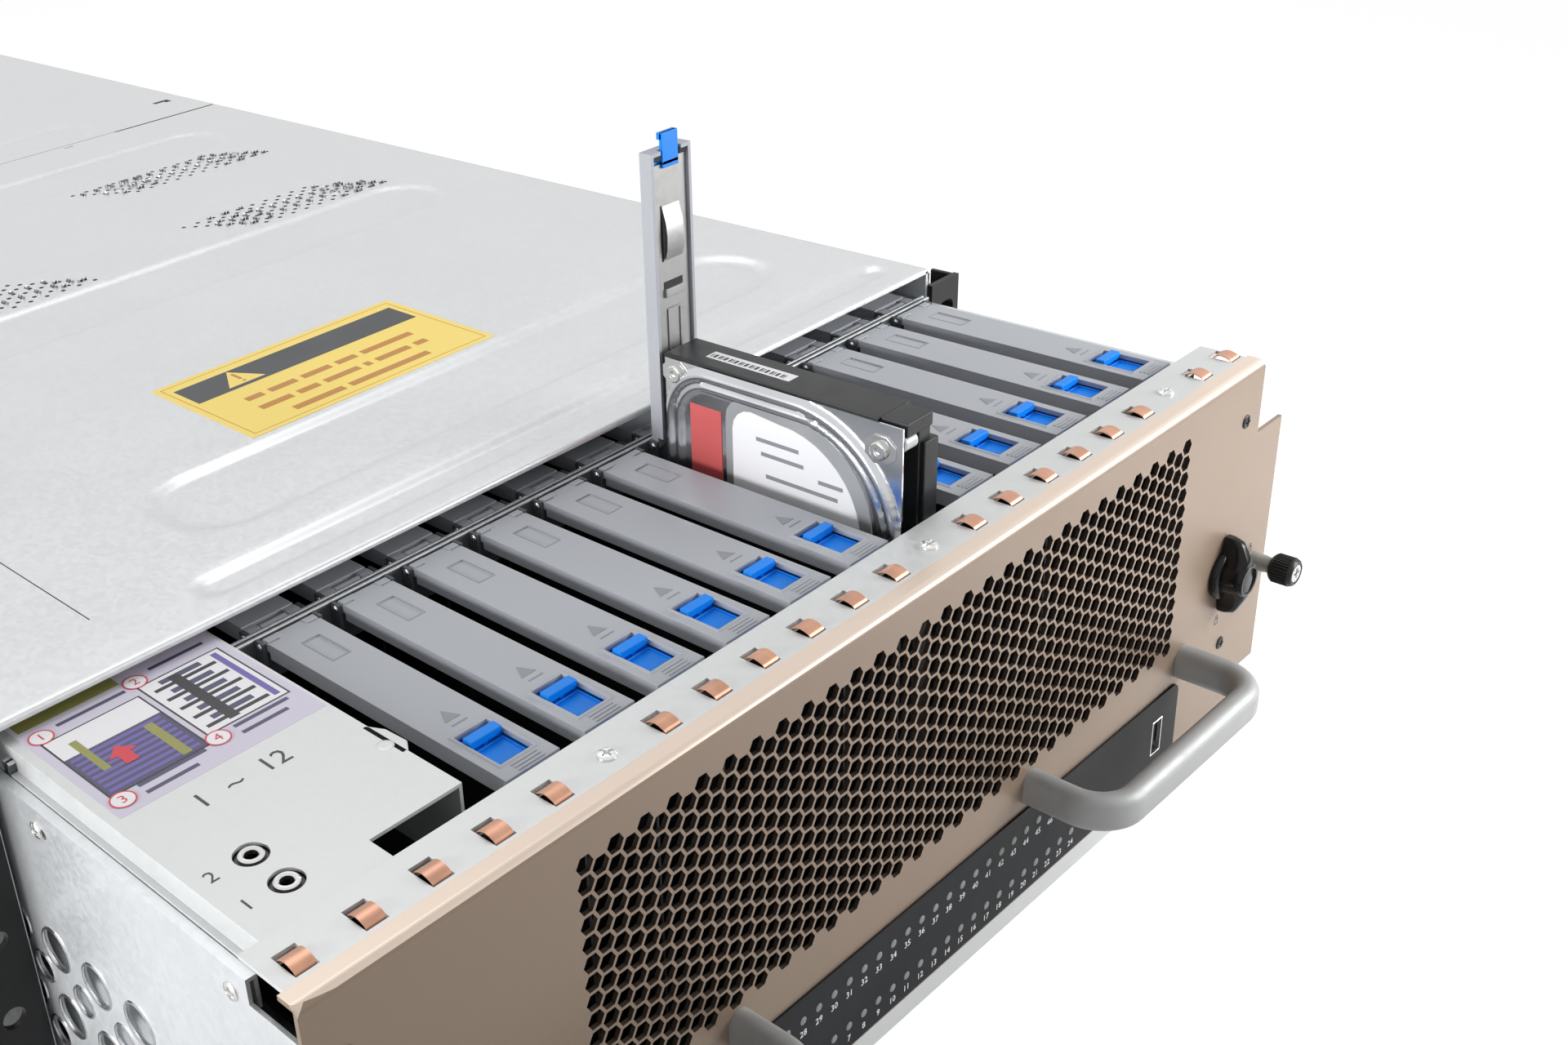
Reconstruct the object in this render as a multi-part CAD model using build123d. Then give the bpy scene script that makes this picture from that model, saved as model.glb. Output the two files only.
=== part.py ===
# A four-unit rack server chassis with a pull-out drawer of upright drive bays.
# X runs to the right seen from the front, Y to the back, Z up, in millimetres.
# The origin is the centre of the chassis floor's underside.
from build123d import *

import os
from math import cos, pi, sin, sqrt

os.makedirs("parts", exist_ok=True)

# Outer chassis
chassis_width = 444.0
chassis_depth = 860.0
chassis_height = 176.0
rack_width = 482.6
sheet = 1.2
front_cover_length = 526.0
cover_seam_gap = 0.6
cover_fold = 14.0
rim_width = 9.0
rim_start_from_seam = 10.0
ear_plate = 2.5
ear_top = 168.5
ear_bottom = 15.0
ear_side_depth = 34.0
rack_hole_count = 4
rack_hole_pitch = 44.45
rack_hole_first = 22.2
rack_hole_x = 232.55
rack_hole_radius = 3.4
rack_slot_length = 10.3

# Drawer tub, its place and its running gaps
drawer_open = 146.0
drawer_width = 439.0
drawer_low_width = 432.0
drawer_step_z = 56.0
drawer_floor_z = 4.0
drawer_wall_top = 162.5
drawer_corner_z = 155.0
hem_width = 3.2
gap = 0.3
wall_hole_radius = 7.0
wall_hole_small = 5.0
wall_hole_first = 86.7
wall_hole_top = 108.5
wall_hole_pitch = 22.0
wall_hole_step = 12.6
wall_hole_columns = 8

# Slides between the drawer and the chassis
rail_bottom = 20.0
rail_top = 52.0
rail_web = 1.0
rail_lip = 2.2
rail_length = 490.0
rail_inset = 4.0
bar_length = 460.0
bar_start = 96.0
inner_rail_start = 20.0

# Front panel
panel_width = 444.0
panel_height = 156.0
panel_bottom = 15.0
panel_sheet = 1.5
panel_return = 7.0
ear_drop = 29.4
ear_rise = 20.4
mesh_pitch = 6.43
mesh_hole = 5.4
mesh_columns = 55
mesh_rows = 14
mesh_right = 167.1
mesh_top = 141.8
window_margin = 14.0

# Flange with contact fingers behind the panel's top edge
flange_depth = 24.5
flange_lip = 9.0
flange_side_gap = 0.5
finger_count = 22
finger_pitch = 20.4
finger_shift = 1.9
finger_width = 6.2
finger_front = 8.7
finger_rear = 17.5
finger_end_gap = 0.4
finger_rise = 1.6
finger_sheet = 0.4
screw_places = (6, 13, 20)
flange_screw_y = 13.8

# Screws
screw_head_radius = 2.8
screw_head_height = 1.2
screw_shank_radius = 1.45
screw_hole_radius = 1.6
screw_length = 5.0
ear_screw_length = 3.5
bezel_screw_x = 211.3
bezel_screw_heights = (39.9, 135.0)
wall_screw_z = 155.0
wall_screw_places = (32.0, 120.0, 215.0)
ear_screw_heights = (40.0, 88.0, 136.0)

# Drive bays and their hinged lids
row_bays = 12
row_pairs = 2
row_pair_gap = 4.0
bay_margin = 1.5
bay_pitch = 29.25
lid_left = -130.9
lid_width = 19.8
lid_front = 30.7
lid_rear = 135.6
lid_drop = 5.0
lid_depth = 5.5
lid_sheet = 1.4
lid_seat_gap = 3.2
hinge_y = 138.6
hinge_drop = 1.7
knuckle_radius = 1.65
knuckle_length = 4.6
pin_radius = 0.9
pin_fit = 0.05
lug_sheet = 1.2
lug_foot = 7.0
lug_reach = 2.0
crossbar_front = 141.0
crossbar_sheet = 1.0
crossbar_gap = 1.6
crossbar_height = 16.0
divider_sheet = 1.0
divider_drop = 10.0
divider_scoop_radius = 260.0
divider_scoop_depth = 6.0
open_bay = 7

# Latch in each lid
window_left = 3.9
window_width = 12.0
window_front = 6.3
window_length = 18.5
latch_sheet = 1.2
latch_inset = 2.2
latch_overlap = 1.0
latch_nose = 2.5
tongue_inset = 2.0
tongue_sheet = 1.4
grip_depth = 3.5
grip_from_rear = 6.7
grip_rise = 0.6

# Label plate left of the bays
label_left = -213.8
label_right = -142.0
label_length = 244.0
label_drop = 1.0
label_flank = 7.0
label_leg = 30.0
label_notch_x = -173.0
label_notch_y = 35.0
jack_x = -196.1
jack_places = (38.2, 53.0)
jack_radius = 4.7
jack_bore = 1.8
jack_length = 12.0

# The one drive, drawn part of the way out of its bay
drive_height = 147.0
drive_width = 101.6
drive_thickness = 20.0
drive_left = 41.2
drive_front = 30.7
drive_lift = 44.8
drive_lid_sheet = 2.0
socket_from_right = 9.0
socket_height = 5.0
socket_width = 5.0
socket_length = 42.0
board_sheet = 1.6
board_gap = 1.6
board_left = -136.0
board_side_gap = 1.0
foot_radius = 3.0

# Front fittings
knob_x = 206.0
knob_z = 74.0
knob_base_radius = 10.4
knob_base_depth = 3.0
knob_hub_radius = 6.6
knob_hub_depth = 10.6
knob_wing_depth = 5.0
knob_span = 32.0
knob_tip = 1.8
knob_shoulder = 3.2
knob_shaft_radius = 3.0
knob_shaft_reach = 6.0
tongue_length = 7.5
tongue_width = 6.0
tongue_plate = 2.5
thumb_x = 231.7
thumb_z = 68.0
thumb_radius = 5.6
thumb_chamfer = 0.8
thumb_sleeve_radius = 3.4
thumb_start = 8.0
thumb_length = 9.4
thumb_shaft_radius = 1.9
thumb_fit = 0.08
thumb_recess_radius = 3.6
handle_centres = 103.0
handle_middle = 128.5
handle_z = 47.0
handle_reach = 35.0
handle_height = 14.0
handle_thickness = 9.0
handle_bend = 14.0
strip_half_width = 179.0
strip_bottom = 1.8
strip_top = 38.6
strip_sheet = 0.8
strip_corner = 4.0
light_count = 24
light_pitch = 7.72
light_middle = 17.35
light_rows = (29.5, 10.8)
light_radius = 1.5
light_proud = 0.1
port_x = 164.8
port_z = 20.8
port_width = 7.0
port_height = 15.2
port_depth = 14.0
port_wall = 0.5

# Rear half of the chassis
fan_size = 120.0
fan_depth = 38.0
fan_count = 3
fan_spacing = 138.0
fan_from_seam = 30.0
fan_foot = 16.0
fan_wall = 3.0
fan_motor_radius = 22.0
fan_shaft_radius = 3.0
fan_fit = 0.05
fan_blades = 7
supply_width = 86.0
supply_height = 40.0
supply_length = 200.0
supply_gap = 0.3
supply_opening_gap = 0.5
vent_radius = 3.0
vent_pitch = 9.0
board_standoff = 8.0

# Places worked out from the sizes above
front_y = -chassis_depth / 2
back_y = chassis_depth / 2
face_y = front_y - drawer_open
half_w = chassis_width / 2
wall_in = half_w - sheet
panel_half = panel_width / 2
drawer_half = drawer_width / 2
drawer_low_half = drawer_low_width / 2
flange_top = panel_bottom + panel_height
flange_half = wall_in - flange_side_gap
lid_top = flange_top - lid_drop
lid_bottom = lid_top - lid_depth
hinge_z = lid_top - hinge_drop
floor_top = drawer_floor_z + sheet
board_z = floor_top + board_gap
drive_seat_z = lid_bottom - lid_seat_gap - drive_height
bar_middle = crossbar_front + crossbar_sheet + crossbar_gap / 2
bay_front = drive_front - bay_margin
bay_rear = drive_front + drive_width + bay_margin
row_step = 2 * bar_middle - 2 * bay_front + row_pair_gap
drawer_depth = (row_pairs - 1) * row_step + 2 * bar_middle - bay_front + 2.2 + sheet
seam_y = front_y + front_cover_length
top_z = chassis_height
crossbar_half = drawer_half - hem_width - gap

FRONT = Plane(origin=(0, 0, 0), x_dir=(1, 0, 0), z_dir=(0, -1, 0))
FLAT = Plane.XY


def block(x0, x1, y0, y1, z0, z1):
    """Box between two corners."""
    return Pos((x0 + x1) / 2, (y0 + y1) / 2, (z0 + z1) / 2) * Box(x1 - x0, y1 - y0, z1 - z0)


def side_block(side, inner, outer, y0, y1, z0, z1):
    """Box on one side of the middle, from its distances to the middle."""
    return block(min(side * inner, side * outer), max(side * inner, side * outer), y0, y1, z0, z1)


def rod_x(x0, x1, y, z, radius):
    """Cylinder along X."""
    return Pos((x0 + x1) / 2, y, z) * Rot(0, 90, 0) * Cylinder(radius, x1 - x0)


def rod_y(x, y0, y1, z, radius):
    """Cylinder along Y."""
    return Pos(x, (y0 + y1) / 2, z) * Rot(90, 0, 0) * Cylinder(radius, y1 - y0)


def rod_z(x, y, z0, z1, radius):
    """Cylinder along Z."""
    return Pos(x, y, (z0 + z1) / 2) * Cylinder(radius, z1 - z0)


def polygon(plane, points):
    """Closed outline of straight edges on a plane."""
    return Wire.make_polygon([plane.from_local_coords(Vector(a, b, 0)) for a, b in points], close=True)


def rectangle(plane, a0, a1, b0, b1):
    return polygon(plane, [(a0, b0), (a1, b0), (a1, b1), (a0, b1)])


def circle(plane, a, b, radius):
    centre = plane.from_local_coords(Vector(a, b, 0))
    return Wire.make_circle(radius, Plane(origin=centre, x_dir=plane.x_dir, z_dir=plane.z_dir))


def pierced_front(outline, holes, y, thickness):
    """Flat sheet facing the front, with its holes."""
    return Pos(0, y, 0) * extrude(Face(outline, holes), thickness, dir=(0, 1, 0))


def pierced_flat(outline, holes, z, thickness):
    """Level sheet with its holes."""
    return Pos(0, 0, z) * extrude(Face(outline, holes), thickness, dir=(0, 0, 1))


def mirrored_x(shape):
    return mirror(shape, about=Plane.YZ)


def mirrored_y(shape, y):
    return mirror(shape, about=Plane(origin=(0, y, 0), z_dir=(0, 1, 0)))


def save(name, *shapes):
    """Write one node, from one solid or a group of separate solids."""
    solids = [solid for shape in shapes for part in (shape if isinstance(shape, list) else [shape])
              for solid in part.solids()]
    export_step(solids[0] if len(solids) == 1 else Compound(children=solids), f"parts/{name}.step")


# Outer chassis: a floor with two side walls, and a folded rim on each wall behind the drawer
def chassis_base():
    outer = block(-half_w, half_w, front_y, back_y - sheet, 0, top_z - sheet)
    inner = block(-wall_in, wall_in, front_y - 1, back_y, sheet, top_z)
    rims = [side_block(side, wall_in - rim_width, wall_in + sheet / 2, seam_y + rim_start_from_seam,
                       back_y - sheet, top_z - 2 * sheet, top_z - sheet) for side in (-1, 1)]
    holes = [rod_x(side * half_w - 2 * sheet, side * half_w + 2 * sheet, front_y + ear_side_depth / 2, z,
                   screw_hole_radius) for side in (-1, 1) for z in ear_screw_heights]
    return (outer - inner).fuse(*rims) - holes


# Back wall with two supply openings, a connector window and vents, and the supplies' cage
def rear_panel():
    y0 = back_y - sheet
    openings = []
    for x, z in supply_places():
        half = supply_width / 2 + supply_opening_gap
        openings.append(rectangle(FRONT, x - half, x + half, z - supply_gap / 2,
                                  z + supply_height + supply_opening_gap))
    window_left_x, window_right_x = -140.0, 60.0
    openings.append(rectangle(FRONT, window_left_x, window_right_x, 14.0, 58.0))
    for column in range(6):
        for row in range(14):
            openings.append(circle(FRONT, 1.5 - half_w + vent_pitch * (column + 1.5),
                                   28.0 + vent_pitch * row, vent_radius))
    for column in range(13):
        for row in range(6):
            openings.append(circle(FRONT, wall_in - 8.0 - vent_pitch * column, 104.0 + vent_pitch * row, vent_radius))
    wall = pierced_front(rectangle(FRONT, -half_w, half_w, 0, top_z - sheet), openings, y0, sheet)
    (x, low), (_, high) = supply_places()
    left = x - supply_width / 2 - supply_gap
    ceiling = high + supply_height + supply_gap
    deep = y0 - supply_length + 2 * sheet
    cage = [block(left - sheet, left, deep, y0, sheet, ceiling + sheet),
            block(left - sheet, wall_in, deep, y0, low + supply_height + supply_gap, high - supply_gap),
            block(left - sheet, wall_in, deep, y0, ceiling, ceiling + sheet)]
    return wall.fuse(*cage)


def supply_places():
    """Middle in X and underside in Z of each power supply."""
    x = wall_in - supply_gap - supply_width / 2
    low = sheet + supply_gap
    return [(x, low), (x, low + supply_height + 2 * supply_gap + sheet)]


# Top covers: flat sheets with folded side edges
def top_cover(y0, y1):
    slab = block(-half_w, half_w, y0, y1, top_z - sheet, top_z)
    folds = [side_block(side, half_w, half_w + sheet, y0, y1, top_z - cover_fold, top_z) for side in (-1, 1)]
    return slab.fuse(*folds)


# Right-hand rack ear, a black angle screwed to the chassis's front corner; the left one mirrors it
def rack_ear():
    edge = rack_width / 2
    holes = [(FRONT * Pos(rack_hole_x, rack_hole_first + k * rack_hole_pitch, 0)
              * SlotOverall(rack_slot_length, 2 * rack_hole_radius)).face().outer_wire()
             for k in range(rack_hole_count)]
    holes.append(circle(FRONT, thumb_x, panel_bottom + thumb_z, thumb_sleeve_radius + gap))
    plate = pierced_front(rectangle(FRONT, half_w, edge, ear_bottom, ear_top), holes,
                          front_y - ear_plate, ear_plate)
    plate += block(half_w, half_w + ear_plate, front_y, front_y + ear_side_depth, ear_bottom,
                   top_z - cover_fold - gap)
    return plate - [rod_x(half_w - 1, half_w + ear_plate + 1, front_y + ear_side_depth / 2, z,
                          screw_hole_radius) for z in ear_screw_heights]


# Right-hand slide of three members: a channel on the chassis, a middle bar, a channel on the drawer
def slide_set():
    start = front_y + rail_inset
    lips = ((rail_bottom, rail_bottom + rail_web), (rail_top - rail_web, rail_top))
    outer = block(wall_in - rail_web, wall_in, start, start + rail_length, rail_bottom, rail_top)
    outer = outer.fuse(*[block(wall_in - rail_lip, wall_in, start, start + rail_length, z0, z1) for z0, z1 in lips])
    bar = block(drawer_low_half + rail_web + gap, wall_in - rail_web - gap, face_y + bar_start,
                face_y + bar_start + bar_length, rail_bottom + rail_web + gap, rail_top - rail_web - gap)
    y0, y1 = face_y + inner_rail_start, face_y + drawer_depth - 1
    inner = block(drawer_low_half, drawer_low_half + rail_web, y0, y1, rail_bottom, rail_top)
    inner = inner.fuse(*[block(drawer_low_half, drawer_low_half + rail_lip, y0, y1, z0, z1) for z0, z1 in lips])
    return outer, bar, inner


# Drawer tub: floor, side walls stepped outward above the slides, hems, vent holes and a rear wall
def drawer_tub():
    y0, y1 = face_y + panel_sheet + sheet, face_y + drawer_depth
    low = block(-drawer_low_half, drawer_low_half, y0, y1, drawer_floor_z, drawer_step_z + sheet)
    high = block(-drawer_half, drawer_half, y0, y1, drawer_step_z, drawer_wall_top)
    inner_low = block(-drawer_low_half + sheet, drawer_low_half - sheet, y0 - 1, y1 - sheet, floor_top,
                      drawer_wall_top + 1)
    inner_high = block(-drawer_half + sheet, drawer_half - sheet, y0 - 1, y1 - sheet, drawer_step_z + sheet,
                       drawer_wall_top + 1)
    tub = (low + high) - [inner_low, inner_high]
    hem_front = face_y + flange_depth + gap
    hems = [side_block(side, drawer_half - hem_width, drawer_half, hem_front, y1, drawer_wall_top - sheet,
                       drawer_wall_top) for side in (-1, 1)]
    tub = tub.fuse(*hems)
    tub -= block(-half_w, half_w, y0 - 1, hem_front, drawer_corner_z, drawer_wall_top + 1)
    cuts = [rod_x(-half_w, half_w, face_y + y, z, r) for y, z, r in wall_holes()]
    cuts += [rod_x(-half_w, -drawer_half + 2 * sheet, face_y + y, wall_screw_z, screw_hole_radius)
             for y in wall_screw_places]
    return tub - cuts


def wall_holes():
    """Staggered large and small holes: distance behind the face, height and radius."""
    holes = []
    for row in range(4):
        small = row % 2
        for column in range(wall_hole_columns - small):
            holes.append((wall_hole_first + (column + small / 2) * wall_hole_pitch,
                          wall_hole_top - row * wall_hole_step, wall_hole_small if small else wall_hole_radius))
    return holes


# Gold-beige front panel: hexagonal mesh, rack ears and a folded top edge
def hexagon(x, z):
    radius = mesh_hole / sqrt(3)
    return polygon(FRONT, [(x + radius * cos(k * pi / 3), z + radius * sin(k * pi / 3)) for k in range(6)])


def mesh_holes():
    column_pitch = mesh_pitch * sqrt(3) / 2
    return [hexagon(mesh_right - column * column_pitch,
                    panel_bottom + mesh_top - (row + column % 2 / 2) * mesh_pitch)
            for column in range(mesh_columns) for row in range(mesh_rows - column % 2)]


def port_corners(margin):
    """Left, right, bottom and top of the data port, widened by a margin."""
    return (port_x - port_width / 2 - margin, port_x + port_width / 2 + margin,
            panel_bottom + port_z - port_height / 2 - margin, panel_bottom + port_z + port_height / 2 + margin)


def front_panel():
    ear_x = rack_width / 2
    low, high = panel_bottom + ear_rise, flange_top - ear_drop
    right = [(panel_half, panel_bottom), (panel_half, low), (ear_x, low), (ear_x, high), (panel_half, high),
             (panel_half, flange_top)]
    outline = polygon(FRONT, right + [(-x, z) for x, z in reversed(right)])
    holes = mesh_holes() + [rectangle(FRONT, *port_corners(0))]
    for side in (-1, 1):
        holes.append(circle(FRONT, side * knob_x, panel_bottom + knob_z, knob_shaft_radius + gap))
        holes.append(circle(FRONT, side * thumb_x, panel_bottom + thumb_z, thumb_sleeve_radius + thumb_fit))
        holes += [circle(FRONT, side * bezel_screw_x, panel_bottom + z, screw_hole_radius)
                  for z in bezel_screw_heights]
    plate = pierced_front(outline, holes, face_y, panel_sheet)
    fold = block(-panel_half, panel_half, face_y, face_y + panel_return, flange_top - panel_sheet, flange_top)
    return plate + fold


# Steel frame behind the panel: posts and sill, and a top flange with slots and a hanging lip
def front_frame():
    y0 = face_y + panel_sheet
    neck_top = flange_top - panel_sheet - gap
    right = [(drawer_low_half, drawer_floor_z), (drawer_low_half, drawer_step_z), (drawer_half, drawer_step_z),
             (drawer_half, neck_top)]
    outline = polygon(FRONT, right + [(-x, z) for x, z in reversed(right)])
    mesh_left = mesh_right - (mesh_columns - 1) * mesh_pitch * sqrt(3) / 2
    mesh_bottom = mesh_top - (mesh_rows - 1) * mesh_pitch
    holes = [rectangle(FRONT, mesh_left - window_margin, mesh_right + window_margin,
                       panel_bottom + mesh_bottom - window_margin / 2, panel_bottom + mesh_top + window_margin / 2),
             rectangle(FRONT, *port_corners(sheet))]
    for side in (-1, 1):
        holes.append(circle(FRONT, side * knob_x, panel_bottom + knob_z, knob_shaft_radius + gap))
        holes += [circle(FRONT, side * bezel_screw_x, panel_bottom + z, screw_hole_radius)
                  for z in bezel_screw_heights]
    posts = pierced_front(outline, holes, y0, sheet)
    slots = []
    for place in range(1, finger_count + 1):
        x = finger_x(place)
        if place in screw_places:
            slots.append(circle(FLAT, x, face_y + flange_screw_y, screw_hole_radius))
        else:
            slots.append(rectangle(FLAT, x - finger_width / 2 - gap, x + finger_width / 2 + gap,
                                   face_y + finger_front - finger_end_gap, face_y + finger_rear + finger_end_gap))
    riser_y = face_y + panel_return
    lip_y = face_y + flange_depth - sheet
    flange = pierced_flat(rectangle(FLAT, -flange_half, flange_half, riser_y, lip_y + sheet), slots,
                          flange_top - sheet, sheet)
    neck = block(-drawer_half, drawer_half, y0, riser_y + sheet, neck_top - sheet, neck_top)
    riser = block(-drawer_half, drawer_half, riser_y, riser_y + sheet, neck_top - sheet, flange_top - sheet / 2)
    lip = block(-crossbar_half, crossbar_half, lip_y, lip_y + sheet, flange_top - flange_lip, flange_top - sheet / 2)
    return posts.fuse(neck, riser, flange, lip)


def finger_x(place):
    return finger_pitch * (place - (finger_count + 1) / 2) + finger_shift


# Copper contact finger: a thin strip arched over its slot
def contact_finger():
    half_length = (finger_rear - finger_front) / 2
    rise = finger_rise + sheet
    radius = (half_length ** 2 + rise ** 2) / (2 * rise)
    middle = face_y + (finger_front + finger_rear) / 2
    ring = Cylinder(radius, finger_width) - Cylinder(radius - finger_sheet, finger_width + 2)
    arch = Pos(0, middle, flange_top + finger_rise - radius) * Rot(0, 90, 0) * ring
    return arch & block(-finger_width, finger_width, middle - half_length, middle + half_length,
                        flange_top - sheet, flange_top + rise)


# Pan-head screw with a cross recess, its seat on the origin and its head up
def screw(length=screw_length):
    slot = screw_head_radius * 1.2
    body = Pos(0, 0, screw_head_height / 2) * Cylinder(screw_head_radius, screw_head_height)
    body += Pos(0, 0, -length / 2) * Cylinder(screw_shank_radius, length)
    cross = Box(slot, 0.8, 1.2) + Box(0.8, slot, 1.2)
    return body - Pos(0, 0, screw_head_height) * cross


# U-shaped carrying handle of oval bar
def handle(side):
    x0 = side * handle_middle - handle_centres / 2
    x1 = side * handle_middle + handle_centres / 2
    reach = handle_reach - handle_thickness / 2
    z = panel_bottom + handle_z
    path = FilletPolyline((x0, face_y, z), (x0, face_y - reach, z), (x1, face_y - reach, z), (x1, face_y, z),
                          radius=handle_bend)
    section = Plane(origin=(x0, face_y, z), x_dir=(1, 0, 0), z_dir=(0, -1, 0)) * RectangleRounded(
        handle_thickness, handle_height, handle_thickness / 2 - 0.1)
    return sweep(section, path=path)


# Winged turn latch with its shaft and the locking tongue behind the panel
def knob(side):
    x, z = side * knob_x, panel_bottom + knob_z
    y = face_y - gap
    tip_z = knob_span / 2
    upper = [(knob_hub_radius, 0), (knob_shoulder, tip_z - 3), (knob_tip, tip_z)]
    points = upper + [(-a, b) for a, b in reversed(upper)]
    points += [(-a, -b) for a, b in upper[1:]] + [(a, -b) for a, b in reversed(upper[1:])]
    wing = extrude(Face(polygon(FRONT, points)), knob_wing_depth, dir=(0, -1, 0))
    shaft_end = face_y + panel_sheet + sheet + knob_shaft_reach
    return rod_y(x, y - knob_base_depth, y, z, knob_base_radius).fuse(
        Pos(x, y, z) * wing,
        rod_y(x, y - knob_hub_depth, y, z, knob_hub_radius),
        rod_y(x, y - knob_base_depth, shaft_end, z, knob_shaft_radius),
        block(x - tongue_width / 2, x + tongue_width / 2, shaft_end - tongue_plate, shaft_end,
              z - tongue_length, z + tongue_width / 2))


# Captive thumbscrew on each panel ear, in a sleeve pressed into the panel
def thumbscrew(side):
    x, z = side * thumb_x, panel_bottom + thumb_z
    front = face_y - thumb_start - thumb_length
    head = rod_y(x, front, face_y - thumb_start, z, thumb_radius)
    head = chamfer(head.edges().filter_by(GeomType.CIRCLE), thumb_chamfer)
    head -= rod_y(x, front - 1, front + thumb_chamfer, z, thumb_recess_radius)
    return head + rod_y(x, face_y - thumb_start - 1, face_y + panel_sheet + 5, z, thumb_shaft_radius)


def thumb_sleeve(side):
    x, z = side * thumb_x, panel_bottom + thumb_z
    tube = rod_y(x, face_y - thumb_start + gap, face_y + panel_sheet, z, thumb_sleeve_radius)
    return tube - rod_y(x, face_y - thumb_start, face_y + panel_sheet + 1, z, thumb_shaft_radius + thumb_fit)


# Dark strip along the panel's foot with two rows of lights
def light_places():
    return [(light_middle + (index - (light_count - 1) / 2) * light_pitch, panel_bottom + z)
            for index in range(light_count) for z in light_rows]


def led_strip():
    corner = strip_corner
    x1, z0, z1 = strip_half_width, panel_bottom + strip_bottom, panel_bottom + strip_top
    outline = rectangle(FRONT, -x1, x1, z0, z1)
    holes = [circle(FRONT, x, z, light_radius) for x, z in light_places()]
    strip = pierced_front(outline, holes + [rectangle(FRONT, *port_corners(0))], face_y - strip_sheet, strip_sheet)
    return fillet(strip.edges().filter_by(Axis.Y).filter_by_position(Axis.X, x1 - 1, x1 + 1), corner)


def led_windows():
    return [rod_y(x, face_y - strip_sheet - light_proud, face_y, z, light_radius) for x, z in light_places()]


# Upright data socket in the strip, and two round console sockets in the label plate
def ports():
    x0, x1, z0, z1 = port_corners(0)
    y0, y1 = face_y - strip_sheet - light_proud, face_y + port_depth
    shell = block(x0, x1, y0, y1, z0, z1)
    shell -= block(x0 + port_wall, x1 - port_wall, y0 - 1, y1 - 1, z0 + port_wall, z1 - port_wall)
    tongue = block(port_x + 0.4, port_x + 2.2, face_y + 1, y1 - 1, z0 + 2.5, z1 - 2.5)
    return [shell + tongue] + [jack(y) for y in jack_places]


def jack(y):
    """Round socket with a collar under the label plate."""
    top = flange_top - label_drop
    body = rod_z(jack_x, face_y + y, top - jack_length, top - gap, jack_radius)
    body += rod_z(jack_x, face_y + y, top - 2 * sheet, top - sheet, jack_radius + sheet)
    return body - rod_z(jack_x, face_y + y, top - jack_length + 1, top + 1, jack_bore)


# Plate with printed instructions, left of the bays, with a stepped left side and a leg on the right
def label_plate():
    y0, y1 = face_y + flange_depth + gap, face_y + label_length
    top = flange_top - label_drop
    foot_z = top - label_flank
    pieces = [block(label_left, label_left + sheet, y0, y1, foot_z, top - sheet / 2),
              block(-crossbar_half, label_left + sheet, y0, y1, foot_z - sheet, foot_z),
              block(label_right - sheet, label_right, y0, y1, top - label_leg, top - sheet / 2)]
    holes = [circle(FLAT, jack_x, face_y + y, jack_radius + thumb_fit) for y in jack_places]
    plate = pierced_flat(rectangle(FLAT, label_left, label_right, y0, y1), holes, top - sheet, sheet)
    plate = plate.fuse(*pieces)
    bar_y = face_y + bar_middle
    bar_half = bar_middle - crossbar_front + gap
    plate -= block(-half_w, label_right + 1, bar_y - bar_half, bar_y + bar_half, 0, lid_top + gap)
    tab_half = 5.0
    tabs = [block(-crossbar_half, -crossbar_half + sheet, face_y + y - tab_half, face_y + y + tab_half,
                  wall_screw_z - tab_half, foot_z) - rod_x(-half_w, -crossbar_half + 2 * sheet, face_y + y,
                                                          wall_screw_z, screw_hole_radius)
            for y in wall_screw_places]
    plate = plate.fuse(*tabs)
    return plate - block(label_notch_x, label_right + 1, y0 - 1, face_y + label_notch_y, 0, flange_top)


# Hinge carrier between two rows: a pair of upright strips with lugs for the lid pins
def crossbar():
    """The first carrier, for a row that starts at y = 0."""
    low = lid_top - crossbar_height
    strip_rear = crossbar_front + crossbar_sheet
    front = block(-crossbar_half, crossbar_half, crossbar_front, strip_rear, low, lid_top)
    web = block(-crossbar_half, crossbar_half, crossbar_front, 2 * bar_middle - crossbar_front, low,
                low + crossbar_sheet)
    plate = lug()
    lugs = [Pos(mid_x(bay) + edge * (lid_width / 2 + gap + lug_sheet / 2), 0, 0) * plate
            for bay in range(1, row_bays + 1) for edge in (-1, 1)]
    half = front.fuse(*lugs)
    return half.fuse(mirrored_y(half, bar_middle), web)


def lug():
    plate = block(-lug_sheet / 2, lug_sheet / 2, hinge_y - lug_reach, crossbar_front + crossbar_sheet / 2,
                  hinge_z - lug_foot, hinge_z + hinge_drop)
    return plate - rod_x(-lug_sheet, lug_sheet, hinge_y, hinge_z, pin_radius)


def hinge_pin():
    reach = lid_width / 2 + gap + lug_sheet
    return rod_x(-reach, reach, hinge_y, hinge_z, pin_radius)


def mid_x(bay):
    """Middle of a bay, counted from 1."""
    return lid_left + (bay - 1) * bay_pitch + lid_width / 2


def in_rows(shape, rows):
    """Copies of a first-bay shape in every bay of some rows, counted from 0."""
    copies = []
    for row in rows:
        pair, rear = divmod(row, 2)
        for bay in range(1, row_bays + 1):
            placed = Pos(mid_x(bay), 0, 0) * shape
            if rear:
                placed = mirrored_y(placed, bar_middle)
            copies.append(Pos(0, face_y + pair * row_step, 0) * placed)
    return copies


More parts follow.
